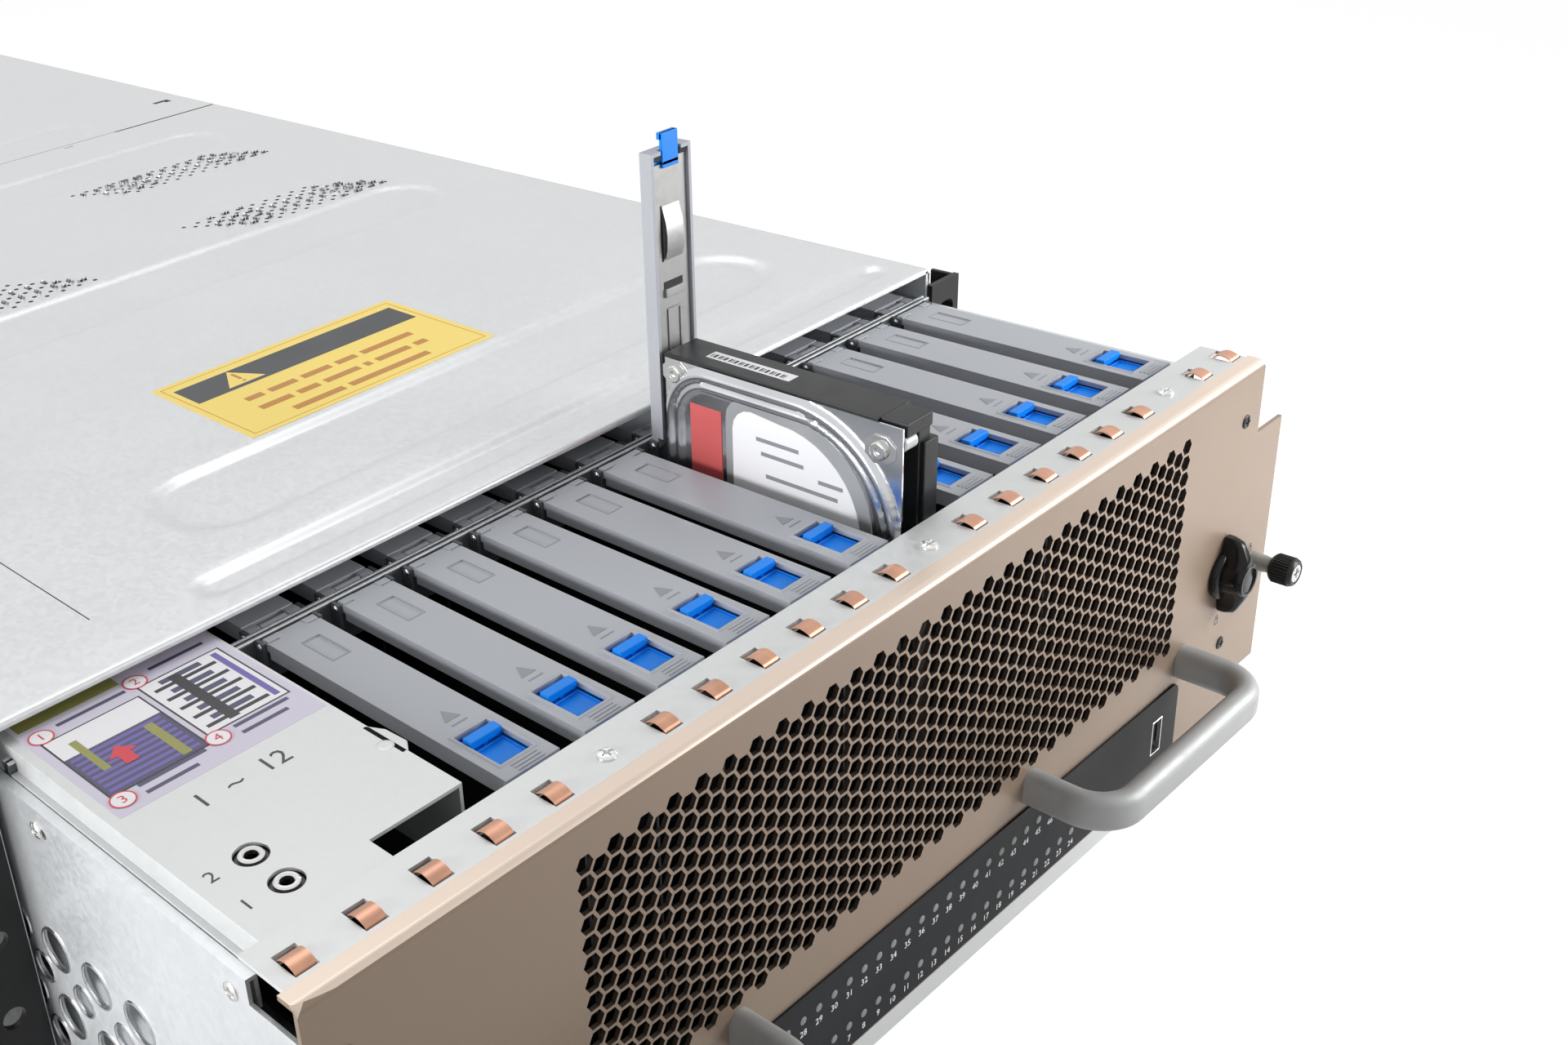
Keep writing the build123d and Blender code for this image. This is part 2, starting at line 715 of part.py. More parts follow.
# One hinged lid: an open-bottomed shell with a latch window and two hinge knuckles, about x = 0
def lid():
    half = lid_width / 2
    x0 = -half + window_left
    shell = block(-half, half, lid_front, lid_rear, lid_bottom, lid_top)
    cuts = [block(lid_sheet - half, half - lid_sheet, lid_front + lid_sheet, lid_rear - lid_sheet,
                  lid_bottom - 1, lid_top - lid_sheet),
            block(x0, x0 + window_width, lid_front + window_front, lid_front + window_front + window_length,
                  lid_bottom, lid_top + 1),
            block(x0 + 1, x0 + window_width - 1, lid_front - 1, lid_front + 2 * lid_sheet, lid_bottom - 1,
                  lid_bottom + tongue_sheet + 2 * gap)]
    shell -= cuts
    knuckles = []
    for edge in (-1, 1):
        a, b = sorted((edge * half, edge * (half - knuckle_length)))
        knuckles.append(rod_x(a, b, hinge_y, hinge_z, knuckle_radius))
        knuckles.append(block(a, b, lid_rear - lid_sheet, hinge_y, hinge_z - knuckle_radius + gap,
                              hinge_z + knuckle_radius - gap))
    return shell.fuse(*knuckles) - rod_x(-half - 1, half + 1, hinge_y, hinge_z, pin_radius + pin_fit)


# Blue sliding latch under the lid's window, with an upright grip and a tongue to the flange
def latch():
    x0 = window_left - lid_width / 2
    x1 = x0 + window_width
    y0 = lid_front + window_front
    top = lid_top - latch_inset
    bar_rear = y0 + window_length - grip_from_rear + grip_depth
    low = lid_bottom + gap
    plate = block(x0 - latch_overlap, x1 + latch_overlap, y0 - latch_nose, y0 + window_length + latch_overlap,
                  top - latch_sheet, top)
    return plate.fuse(
        block(x0 + gap, x1 - gap, bar_rear - grip_depth, bar_rear, top - latch_sheet, lid_top + grip_rise),
        block(x0 + tongue_inset, x1 - tongue_inset, flange_depth + gap, y0, low, low + tongue_sheet),
        block(x0 + tongue_inset, x1 - tongue_inset, y0 - latch_nose, y0 - 1, low, top))


def stand_up(shape):
    """Turn a closed lid or latch to its open place about its hinge."""
    return Pos(0, hinge_y, hinge_z) * Rot(-90, 0, 0) * Pos(0, -hinge_y, -hinge_z) * shape


# Drive with a cast body and a pressed lid on its left face
def drive():
    x0, x1 = drive_left, drive_left + drive_thickness
    y0, y1 = face_y + drive_front, face_y + drive_front + drive_width
    z0 = drive_seat_z + drive_lift
    body = block(x0 + drive_lid_sheet, x1, y0, y1, z0, z0 + drive_height)
    board_inset, board_margin = 8.0, 20.0
    recess = block(x1 - board_sheet, x1 + 1, y0 + board_inset, y1 - board_inset, z0 + board_margin,
                   z0 + drive_height - board_margin)
    sx, sy = socket_x(open_bay), face_y + drive_front + drive_width / 2
    entry = block(sx - socket_width / 2 - gap, sx + socket_width / 2 + gap, sy - socket_length / 2 - gap,
                  sy + socket_length / 2 + gap, z0 - 1, z0 + socket_height)
    lid_edge, lid_low = 1.0, 14.0
    cover = block(x0, x0 + drive_lid_sheet, y0 + lid_edge, y1 - lid_edge, z0 + lid_low,
                  z0 + drive_height - 3 * lid_edge)
    return [body - [recess, entry], cover]


def socket_x(bay):
    """Middle of a bay's socket, under the drive's connector."""
    return mid_x(bay) - mid_x(open_bay) + drive_left + drive_thickness - socket_from_right


def row_span(row):
    """Front and rear of one row of bays."""
    pair, rear = divmod(row, 2)
    base = face_y + pair * row_step
    if rear:
        return base + 2 * bar_middle - bay_rear, base + 2 * bar_middle - bay_front
    return base + bay_front, base + bay_rear


# Board under each row of bays, with feet and one socket to each bay
def backplane(row):
    y0, y1 = row_span(row)
    right = drawer_low_half - sheet - board_side_gap
    top = board_z + board_sheet
    board = block(board_left, right, y0, y1, board_z, top)
    feet = [rod_z(x, y, floor_top, board_z, foot_radius) for x in (board_left + 6, 40.0, right - 6)
            for y in (y0 + 6, y1 - 6)]
    middle = (y0 + y1) / 2
    sockets = [block(socket_x(bay) - socket_width / 2, socket_x(bay) + socket_width / 2,
                     middle - socket_length / 2, middle + socket_length / 2, top, top + socket_height)
               for bay in range(1, row_bays + 1)]
    return board.fuse(*feet, *sockets)


# Upright plates between the bays, each with a shallow scoop in its top edge
def bay_dividers(row):
    y0, y1 = row_span(row)
    top = lid_bottom - divider_drop
    plate = block(0, divider_sheet, y0, y1, board_z + board_sheet, top)
    plate -= rod_x(-1, divider_sheet + 1, (y0 + y1) / 2, top + divider_scoop_radius - divider_scoop_depth,
                   divider_scoop_radius)
    last = drawer_low_half - sheet - gap - divider_sheet
    return [Pos(min(mid_x(1) + (wall - 0.5) * bay_pitch, last), 0, 0) * plate for wall in range(row_bays + 1)]


# Fans stand in a row behind the drawer's travel, each with a rotor on a fixed shaft
def fan_place(index):
    return (index - (fan_count - 1) / 2) * fan_spacing, seam_y + fan_from_seam, fan_size / 2 + fan_foot


def fan_frame():
    """Square frame around the origin, its front at y = 0, with a cross that holds the shaft."""
    half = fan_size / 2
    arm = 4.0
    frame = block(-half, half, 0, fan_depth, -half, half)
    frame -= rod_y(0, -1, fan_depth + 1, 0, half - fan_wall)
    return frame.fuse(block(-half + 1, half - 1, fan_depth - arm, fan_depth, -arm / 2, arm / 2),
                      block(-arm / 2, arm / 2, fan_depth - arm, fan_depth, -half + 1, half - 1),
                      rod_y(0, fan_depth - arm, fan_depth, 0, fan_motor_radius - 2),
                      rod_y(0, 2 * arm, fan_depth - 1, 0, fan_shaft_radius),
                      block(-half, half, 0, fan_depth, sheet - half - fan_foot, -half))


def fan_rotor():
    y0, y1 = 4.0, fan_depth - 6.0
    blade_thickness, blade_chord, blade_turn = 2.0, 26.0, 35.0
    tip = fan_size / 2 - fan_wall - 2.0
    hub = rod_y(0, y0, y1, 0, fan_motor_radius) - rod_y(0, y0 + 3, fan_depth, 0, fan_shaft_radius + fan_fit)
    blade = Pos((fan_motor_radius + tip) / 2, (y0 + y1) / 2, 0) * Rot(blade_turn, 0, 0) * Box(
        tip - fan_motor_radius + 2, blade_thickness, blade_chord)
    blade = blade & rod_y(0, y0, y1, 0, tip)
    return hub.fuse(*[Rot(0, step * 360 / fan_blades, 0) * blade for step in range(fan_blades)])


# Main board on stand-offs, with two heat sinks and a bank of memory modules
def mainboard():
    x0, x1 = -200.0, 100.0
    y0, y1 = seam_y + 80, back_y - 12
    top = board_standoff + board_sheet
    feet = [rod_z(x, y, sheet, board_standoff, foot_radius) for x in (x0 + 10, (x0 + x1) / 2, x1 - 10)
            for y in (y0 + 8, y1 - 8)]
    sink_size, sink_height = 70.0, 64.0
    sinks = [block(x, x + sink_size, y0 + 90, y0 + 90 + sink_size, top, top + sink_height) for x in (x0 + 60, x0 + 160)]
    module_pitch, module_width = 9.0, 3.0
    modules = [block(x0 + 5 + step * module_pitch, x0 + 5 + step * module_pitch + module_width, y0 + 10, y0 + 80,
                     top, top + 34) for step in range(8)]
    return block(x0, x1, y0, y1, board_standoff, top).fuse(*feet, *sinks, *modules)


# Power supply: a case with an inlet recess and a pull handle on its rear face
def supply(place):
    x, z = place
    bar, reach = 4.0, 22.0
    low, high = z + 8, z + supply_height - 8
    case = block(x - supply_width / 2, x + supply_width / 2, back_y - supply_length, back_y, z, z + supply_height)
    case = case.fuse(block(x - bar, x + bar, back_y, back_y + reach, low, low + bar),
                     block(x - bar, x + bar, back_y, back_y + reach, high - bar, high),
                     block(x - bar, x + bar, back_y + reach - bar, back_y + reach, low, high))
    return case - block(x + 14, x + 36, back_y - 8, back_y + 1, low, high)


def chassis_screws():
    turned = Rot(0, 90, 0) * screw(ear_screw_length)
    right = [Pos(half_w + ear_plate, front_y + ear_side_depth / 2, z) * turned for z in ear_screw_heights]
    return right + [mirrored_x(one) for one in right]


def drawer_screws():
    one = screw()
    screws = [Pos(finger_x(place), face_y + flange_screw_y, flange_top) * one for place in screw_places]
    facing = Rot(90, 0, 0) * one
    screws += [Pos(side * bezel_screw_x, face_y, panel_bottom + z) * facing
               for side in (-1, 1) for z in bezel_screw_heights]
    sideways = Rot(0, -90, 0) * one
    return screws + [Pos(-drawer_half, face_y + y, wall_screw_z) * sideways for y in wall_screw_places]


save("chassis_base", chassis_base())
save("rear_panel", rear_panel())
save("front_top_cover", top_cover(front_y, seam_y))
save("rear_top_cover", top_cover(seam_y + cover_seam_gap, back_y))
right_ear = rack_ear()
save("rack_ears", mirrored_x(right_ear), right_ear)
for name, rail in zip(("outer_rails", "middle_rails", "inner_rails"), slide_set()):
    save(name, mirrored_x(rail), rail)
save("chassis_screws", chassis_screws())
save("mainboard", mainboard())
fan_shapes = fan_frame(), fan_rotor()
save("fan_frames", [Pos(*fan_place(index)) * fan_shapes[0] for index in range(fan_count)])
for index in range(fan_count):
    save(f"fan_rotor_{index + 1}", Pos(*fan_place(index)) * fan_shapes[1])
for index, place in enumerate(supply_places()):
    save(f"power_supply_{index + 1}", supply(place))

save("drawer_tub", drawer_tub())
save("front_panel", front_panel(), thumb_sleeve(-1), thumb_sleeve(1))
save("front_frame", front_frame())
finger = contact_finger()
save("emi_fingers", [Pos(finger_x(place), 0, 0) * finger for place in range(1, finger_count + 1)
                     if place not in screw_places])
save("drawer_screws", drawer_screws())
save("led_strip", led_strip())
save("led_windows", led_windows())
save("ports", ports())
save("handles", handle(-1), handle(1))
save("label_plate", label_plate())
carrier = crossbar()
save("crossbars", [Pos(0, face_y + pair * row_step, 0) * carrier for pair in range(row_pairs)])
save("hinge_pins", in_rows(hinge_pin(), range(2 * row_pairs)))
save("bay_dividers", *[bay_dividers(row) for row in range(2 * row_pairs)])
save("backplane", [backplane(row) for row in range(2 * row_pairs)])
closed_lid, closed_latch = lid(), latch()
save("rear_covers", in_rows(closed_lid, range(1, 2 * row_pairs)))
save("drive", drive())
for side, word in ((-1, "left"), (1, "right")):
    save(f"knob_{word}", knob(side))
    save(f"thumbscrew_{word}", thumbscrew(side))
for bay in range(1, row_bays + 1):
    place = Pos(mid_x(bay), face_y, 0)
    opened = bay == open_bay
    save(f"cover_{bay:02d}", place * (stand_up(closed_lid) if opened else closed_lid))
    save(f"latch_{bay:02d}", place * (stand_up(closed_latch) if opened else closed_latch))
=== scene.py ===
import math

import bmesh
import bpy
from mathutils import Matrix, Vector


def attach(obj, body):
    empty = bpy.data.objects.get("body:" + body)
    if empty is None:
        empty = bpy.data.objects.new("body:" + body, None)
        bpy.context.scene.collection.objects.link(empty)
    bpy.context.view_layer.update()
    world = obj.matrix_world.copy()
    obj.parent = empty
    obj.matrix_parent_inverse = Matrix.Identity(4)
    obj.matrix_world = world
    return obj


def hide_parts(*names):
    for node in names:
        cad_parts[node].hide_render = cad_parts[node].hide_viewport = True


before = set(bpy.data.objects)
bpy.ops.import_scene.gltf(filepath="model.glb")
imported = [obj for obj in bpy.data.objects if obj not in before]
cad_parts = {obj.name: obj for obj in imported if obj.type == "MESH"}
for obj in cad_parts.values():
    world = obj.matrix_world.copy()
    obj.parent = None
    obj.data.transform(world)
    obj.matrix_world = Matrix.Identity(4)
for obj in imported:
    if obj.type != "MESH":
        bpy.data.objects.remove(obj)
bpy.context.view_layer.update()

# The camera stands in front of the left corner, a little above the covers.
# Its turn is an axis, with the angle as its length, from the room's axes to the picture's.
picture_turn = Vector((1.8965039, -0.80044777, 0.38256748))
across, down, ahead = Matrix.Rotation(picture_turn.length, 3, picture_turn.normalized())
lens = bpy.data.cameras.new("camera")
lens.lens = 40.215
lens.sensor_width = 36.0
lens.shift_x = 0.18507
lens.shift_y = -0.02267
camera = bpy.data.objects.new("camera", lens)
camera.matrix_world = (Matrix.Translation((-0.36998, -0.83205, 0.43978))
                       @ Matrix((across, -down, -ahead)).transposed().to_4x4())
bpy.context.collection.objects.link(camera)
bpy.context.scene.camera = camera
bpy.context.scene.view_settings.view_transform = "Standard"


def add(tree, kind, sockets=None, **settings):
    """A new node. A socket gets a number, a colour or another node's output."""
    made = tree.nodes.new(kind)
    for name, value in settings.items():
        setattr(made, name, value)
    for name, value in (sockets or {}).items():
        if isinstance(value, bpy.types.NodeSocket):
            tree.links.new(value, made.inputs[name])
        else:
            made.inputs[name].default_value = value
    return made


# The studio is a white room with an even sky and three soft lamps: overhead, low at the left, and near the
# panel's right end, where its paint is brightest. The pale floor keeps the shadow that the chassis throws.
sky_light = 0.42
sky = bpy.data.worlds.new("studio")
bpy.context.scene.world = sky
sky.use_nodes = True
sky.node_tree.nodes.clear()
even = add(sky.node_tree, "ShaderNodeBackground", {"Color": (1, 1, 1, 1), "Strength": sky_light})
white = add(sky.node_tree, "ShaderNodeBackground", {"Color": (1, 1, 1, 1), "Strength": 1.0})
rays = add(sky.node_tree, "ShaderNodeLightPath").outputs
straight = add(sky.node_tree, "ShaderNodeMath", {0: rays["Is Camera Ray"], 1: rays["Is Glossy Ray"]},
               operation="ADD")
straight = add(sky.node_tree, "ShaderNodeMath", {0: straight.outputs[0], 1: rays["Is Transmission Ray"]},
               operation="ADD", use_clamp=True)
both = add(sky.node_tree, "ShaderNodeMixShader",
           {0: straight.outputs[0], 1: even.outputs[0], 2: white.outputs[0]})
add(sky.node_tree, "ShaderNodeOutputWorld", {"Surface": both.outputs[0]})

for name, place, aim, size, power in (
        ("overhead lamp", (0.30, 0.25, 1.60), (0.05, -0.10, 0.0), (0.9, 0.9), 7.4),
        ("left lamp", (-1.70, -0.10, 0.36), (-0.22, -0.45, 0.1), (0.8, 0.6), 27.0),
        ("right lamp", (0.46, -0.90, 0.30), (0.22, -0.576, 0.10), (0.3, 0.3), 3.6)):
    lamp = bpy.data.lights.new(name, "AREA")
    lamp.shape = "RECTANGLE"
    lamp.size, lamp.size_y = size
    lamp.energy = power
    stand = bpy.data.objects.new(name, lamp)
    stand.matrix_world = (Matrix.Translation(place)
                          @ (Vector(aim) - Vector(place)).to_track_quat("-Z", "Y").to_matrix().to_4x4())
    bpy.context.collection.objects.link(stand)

floor_paint = bpy.data.materials.new("floor paint")
floor_paint.use_nodes = True
floor_paint.node_tree.nodes.clear()
pale = add(floor_paint.node_tree, "ShaderNodeBsdfDiffuse", {"Color": (0.85, 0.85, 0.85, 1)})
glow = add(floor_paint.node_tree, "ShaderNodeEmission", {"Color": (1, 1, 1, 1), "Strength": 1.2})
share = add(floor_paint.node_tree, "ShaderNodeMath",
            {0: add(floor_paint.node_tree, "ShaderNodeLightPath").outputs["Is Camera Ray"], 1: 0.72},
            operation="MULTIPLY")
floor_mix = add(floor_paint.node_tree, "ShaderNodeMixShader",
                {0: share.outputs[0], 1: pale.outputs[0], 2: glow.outputs[0]})
add(floor_paint.node_tree, "ShaderNodeOutputMaterial", {"Surface": floor_mix.outputs[0]})
floor_mesh = bpy.data.meshes.new("floor")
reach = 9.0
floor_mesh.from_pydata([(-reach, -reach, -0.001), (reach, -reach, -0.001), (reach, reach, -0.001),
                        (-reach, reach, -0.001)], [], [(0, 1, 2, 3)])
floor_mesh.materials.append(floor_paint)
studio_floor = bpy.data.objects.new("studio_floor", floor_mesh)
bpy.context.collection.objects.link(studio_floor)

MM = 0.001


def tint(red, green, blue):
    """A colour as it looks on a screen, 0 to 255, as the light it gives back."""
    return [((c / 255 + 0.055) / 1.055) ** 2.4 if c > 10 else c / 3294 for c in (red, green, blue)]


def finish(name, colour, rough, metal=0.0, tone=0.04, tone_size=40.0, grain=0.01, grain_size=0.5,
           stretch=(1.0, 1.0, 1.0), flake_size=0.0, shine=0.5):
    """A finish with slow changes of tone, fine relief and, on zinc, crystals. Sizes are in millimetres."""
    material = bpy.data.materials.new(name)
    material.use_nodes = True
    tree = material.node_tree
    shader = tree.nodes["Principled BSDF"]
    shader.inputs["Metallic"].default_value = metal
    shader.inputs["Specular IOR Level"].default_value = shine
    place = add(tree, "ShaderNodeTexCoord").outputs["Object"]
    place = add(tree, "ShaderNodeMapping", {"Vector": place, "Scale": stretch}).outputs[0]
    tones = add(tree, "ShaderNodeTexNoise",
                {"Vector": place, "Scale": 1000 / tone_size, "Detail": 4.0}).outputs[0]
    if flake_size:
        cells = add(tree, "ShaderNodeTexVoronoi", {"Vector": place, "Scale": 1000 / flake_size})
        total = add(tree, "ShaderNodeMath", {0: tones, 1: cells.outputs["Color"]}, operation="ADD")
        tones = add(tree, "ShaderNodeMath", {0: total.outputs[0], 1: 0.5}, operation="MULTIPLY").outputs[0]
    spread = {"Value": tones, "From Min": 0.3, "From Max": 0.7}
    shade = add(tree, "ShaderNodeMapRange", {**spread, "To Min": 1 - tone, "To Max": 1 + tone}).outputs[0]
    paint = add(tree, "ShaderNodeVectorMath", {0: colour, "Scale": shade}, operation="SCALE")
    tree.links.new(paint.outputs[0], shader.inputs["Base Color"])
    gloss = add(tree, "ShaderNodeMapRange", {**spread, "To Min": rough * 0.88, "To Max": rough * 1.14})
    tree.links.new(gloss.outputs[0], shader.inputs["Roughness"])
    relief = add(tree, "ShaderNodeTexNoise", {"Vector": place, "Scale": 1000 / grain_size, "Detail": 2.0})
    bump = add(tree, "ShaderNodeBump", {"Height": relief.outputs[0], "Distance": grain * MM})
    tree.links.new(bump.outputs[0], shader.inputs["Normal"])
    return material


def paint(material, *nodes):
    """Give CAD nodes whose shape is right their finish."""
    for node in nodes:
        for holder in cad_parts[node].material_slots:
            holder.material = material


def thing(name, data):
    """A new object in the scene."""
    made = bpy.data.objects.new(name, data)
    bpy.context.collection.objects.link(made)
    return made


def carried(piece, body, slot, *nodes):
    """Let a finished piece ride on its body and stand for its CAD nodes."""
    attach(piece, body)
    if nodes:
        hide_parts(*nodes)
    return piece


def settled(piece):
    """Turn a piece and its modifiers into a plain mesh."""
    bpy.context.view_layer.update()
    mesh = bpy.data.meshes.new_from_object(piece.evaluated_get(bpy.context.evaluated_depsgraph_get()))
    piece.modifiers.clear()
    piece.data = mesh
    return piece


def rounded(piece, width, parts, sharpest):
    """Round the edges that bend by more than an angle."""
    edge = piece.modifiers.new("edge", "BEVEL")
    edge.width, edge.segments = width * MM, parts
    edge.limit_method, edge.angle_limit = "ANGLE", math.radians(sharpest)
    return settled(piece)


def shaded(piece, sharp):
    """Smooth shading between the sharp edges, led by the large faces."""
    piece.data.shade_smooth()
    piece.data.set_sharp_from_angle(angle=math.radians(sharp))
    lean = piece.modifiers.new("lean", "WEIGHTED_NORMAL")
    lean.keep_sharp = True
    return settled(piece)


class Made:
    """One piece in the making, in millimetres."""

    def __init__(self, node=None):
        self.mesh = bmesh.new()
        if node:
            self.mesh.from_mesh(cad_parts[node].data)
            self.mesh.transform(Matrix.Scale(1 / MM, 4))
            bmesh.ops.remove_doubles(self.mesh, verts=self.mesh.verts, dist=0.004)
            bmesh.ops.dissolve_limit(self.mesh, angle_limit=0.01, verts=self.mesh.verts, edges=self.mesh.edges)

    def skin(self, rings, caps=True):
        """Walls between rings of points, closed at both ends."""
        loops = [[self.mesh.verts.new(point) for point in ring] for ring in rings]
        pairs = list(zip(loops, loops[1:])) if caps else list(zip(loops, loops[1:] + loops[:1]))
        for low, high in pairs:
            for i in range(len(low)):
                j = (i + 1) % len(low)
                self.mesh.faces.new((low[i], low[j], high[j], high[i]))
        if caps:
            self.mesh.faces.new(loops[0])
            self.mesh.faces.new(loops[-1])
        return self

    def prism(self, outline, axis, low, high):
        """An outline pushed along an axis; its points are the other two coordinates, in order."""
        self.skin([[point_on(axis, level, a, b) for a, b in outline] for level in (low, high)])
        return self

    def block(self, x0, x1, y0, y1, z0, z1):
        return self.prism([(x0, y0), (x1, y0), (x1, y1), (x0, y1)], "z", z0, z1)

    def border(self, axis, low, high, a0, a1, b0, b1, width, slope=0.0):
        """A raised frame of four mitred bars, its outside leaning in by the slope."""
        def corners(inset):
            return [(a0 + inset, b0 + inset), (a1 - inset, b0 + inset), (a1 - inset, b1 - inset),
                    (a0 + inset, b1 - inset)]
        rings = [(0.0, low), (slope, high), (width, high), (width, low)]
        return self.skin([[point_on(axis, level, a, b) for a, b in corners(inset)] for inset, level in rings],
                         caps=False)

    def lathe(self, profile, axis, a, b, steps=32, flute=0.0, caps=True):
        """A turned shape about an axis through (a, b): (place, radius) pairs, with flutes where wanted."""
        rings = []
        for level, radius in profile:
            sizes = [(2 * math.pi * step / steps, radius - flute * (step % 2)) for step in range(steps)]
            rings.append([point_on(axis, level, a + size * math.cos(turn), b + size * math.sin(turn))
                          for turn, size in sizes])
        return self.skin(rings, caps)

    def donut(self, axis, level, a, b, radius, thick, steps=32, sides=8):
        """A round ring of round wire."""
        leans = [2 * math.pi * side / sides for side in range(sides)]
        wire = [(level + thick * math.sin(lean), radius + thick * math.cos(lean)) for lean in leans]
        return self.lathe(wire, axis, a, b, steps, caps=False)

    def words(self, text, size, matrix, depth=0.05):
        """Plain figures, cut from thin film, centred on the matrix's place."""
        curve = bpy.data.curves.new("figures", "FONT")
        curve.body, curve.size, curve.extrude, curve.resolution_u = text, size, depth, 2
        curve.align_x, curve.align_y = "CENTER", "CENTER"
        holder = thing("figures", curve)
        bpy.context.view_layer.update()
        mesh = bpy.data.meshes.new_from_object(holder.evaluated_get(bpy.context.evaluated_depsgraph_get()))
        mesh.transform(matrix)
        self.mesh.from_mesh(mesh)
        bpy.data.objects.remove(holder)
        return self

    def loose(self, name, material, bevel=0.0, parts=2, sharp=35.0, turn=None):
        """The piece as an object in metres, with its edges rounded."""
        bmesh.ops.recalc_face_normals(self.mesh, faces=self.mesh.faces)
        if turn is not None:
            self.mesh.transform(turn)
        self.mesh.transform(Matrix.Scale(MM, 4))
        mesh = bpy.data.meshes.new(name)
        self.mesh.to_mesh(mesh)
        self.mesh.free()
        mesh.materials.append(material)
        piece = thing(name, mesh)
        if bevel:
            rounded(piece, bevel, parts, 30)
        return shaded(piece, sharp)

    def place(self, name, material, body, slot, *nodes, **how):
        return carried(self.loose(name, material, **how), body, slot, *nodes)


def point_on(axis, level, a, b):
    """A point from its place along one axis and its other two coordinates."""
    return {"x": (level, a, b), "y": (a, level, b), "z": (a, b, level)}[axis]


def cut(piece, cutter):
    """Take one shape out of another."""
    knife = piece.modifiers.new("knife", "BOOLEAN")
    knife.object = cutter
    knife.operation = "DIFFERENCE"
    settled(piece)
    bpy.data.objects.remove(cutter)
    return piece


# Chassis: floor, walls and back of folded zinc-coated sheet, with plain channel slides inside.
# The zinc is pale grey, with faint crystals and a slightly uneven gloss.
zinc = finish("zinc-coated sheet", tint(213, 215, 216), 0.36, metal=0.5, tone=0.022, tone_size=60.0,
              flake_size=1.7, grain=0.004, grain_size=0.8)
zinc_wall = finish("zinc-coated wall", tint(210, 213, 215), 0.34, metal=0.5, tone=0.035, tone_size=35.0,
                   flake_size=1.7, grain=0.005, grain_size=0.8)
# Painted shade: a darker zinc for the covers' hole walls and cut edges.
zinc_shade = finish("painted shade on cut edges of zinc-coated sheet", tint(138, 143, 150), 0.5, metal=0.3, tone=0.05)
bright_steel = finish("bright steel", tint(200, 202, 204), 0.25, metal=0.95, tone=0.05, tone_size=9.0)
# Painted shade: a darker steel for the hinge carriers, which lie in shade between the lids.
carrier_shade_steel = finish("pressed steel darkened as painted shade", tint(96, 99, 103), 0.42, metal=0.4, tone=0.08, tone_size=6.0,
                    shine=0.3)
black_paint = finish("black paint", tint(16, 16, 18), 0.45, tone=0.10, tone_size=12.0, grain=0.02,
                     grain_size=0.35, shine=0.35)
paint(zinc_wall, "chassis_base", "rear_panel")
paint(bright_steel, "outer_rails", "middle_rails", "inner_rails")

# Rack ears: black painted angles screwed to the chassis's front corners, with a return along each edge.
# Their edges are rounded by the paint, and their slots take the rack's screws.
Made("rack_ears").place("ear_plates", black_paint, "chassis", "black_paint", "rack_ears", bevel=0.35)
ear_returns = Made()
for side in (-1, 1):
    for near, far, depth in ((239.2, 241.2, 10.5), (223.4, 225.2, 14.0)):
        x0, x1 = sorted((side * near, side * far))
        ear_returns.block(x0, x1, -430.6, -430.0 + depth, 15.3, 168.3)
ear_returns.place("ear_returns", black_paint, "chassis", "black_paint", bevel=0.6, parts=3)


def pan_head(radius, height, material):
    """A pan-head screw with a cross recess, its seat on the origin and its head up."""
    dome = [(0.0, radius), (height * 0.45, radius * 0.97), (height * 0.8, radius * 0.8), (height, radius * 0.5)]
    head = Made().lathe(dome, "z", 0, 0, steps=24).loose("head", material)
    arm, wide = radius * 0.62, radius * 0.16
    for x, y in ((arm, wide), (wide, arm)):
        cut(head, Made().block(-x, x, -y, y, height * 0.25, height * 1.2).loose("cutter", material))
    head.data.shade_smooth()
    head.data.set_sharp_from_angle(angle=math.radians(30))
    return head


# Lattice: one shape repeated in columns and rows, for screws, lights, contact strips, rims and ribs.
# It is a node tree, so that a pattern's pitch or count is changed in one place.
lattice = bpy.data.node_groups.new("lattice", "GeometryNodeTree")
for label, kind in (("Shape", "Object"), ("Finish", "Material"), ("Columns", "Int"), ("Rows", "Int"),
                    ("Start", "Vector"), ("Column step", "Vector"), ("Row step", "Vector"),
                    ("Odd column shift", "Vector"), ("Gap every", "Int"), ("Gap place", "Int")):
    lattice.interface.new_socket(label, in_out="INPUT", socket_type="NodeSocket" + kind)
lattice.interface.new_socket("Mesh", in_out="OUTPUT", socket_type="NodeSocketGeometry")
given = add(lattice, "NodeGroupInput").outputs
order = add(lattice, "GeometryNodeInputIndex").outputs[0]


def sums(operation, first, second=0.0):
    return add(lattice, "ShaderNodeMath", {0: first, 1: second}, operation=operation).outputs[0]


column = sums("FLOOR", sums("DIVIDE", order, given["Rows"]))
steps = [(given["Column step"], column), (given["Row step"], sums("MODULO", order, given["Rows"])),
         (given["Odd column shift"], sums("MODULO", column, 2.0))]
spot = given["Start"]
for step, times in steps:
    moved = add(lattice, "ShaderNodeVectorMath", {0: step, "Scale": times}, operation="SCALE")
    spot = add(lattice, "ShaderNodeVectorMath", {0: spot, 1: moved.outputs[0]}, operation="ADD").outputs[0]
spots = add(lattice, "GeometryNodePoints",
            {"Count": sums("MULTIPLY", given["Columns"], given["Rows"]), "Position": spot})
empty = add(lattice, "ShaderNodeMath", {0: sums("MODULO", order, given["Gap every"]), 1: given["Gap place"],
                                        2: 0.1}, operation="COMPARE")
filled = add(lattice, "FunctionNodeBooleanMath", {0: empty.outputs[0]}, operation="NOT")
copied = add(lattice, "GeometryNodeInstanceOnPoints",
             {"Points": spots.outputs[0], "Selection": filled.outputs[0],
              "Instance": add(lattice, "GeometryNodeObjectInfo",
                              {"Object": given["Shape"]}).outputs["Geometry"]})
real = add(lattice, "GeometryNodeRealizeInstances", {0: copied.outputs[0]})
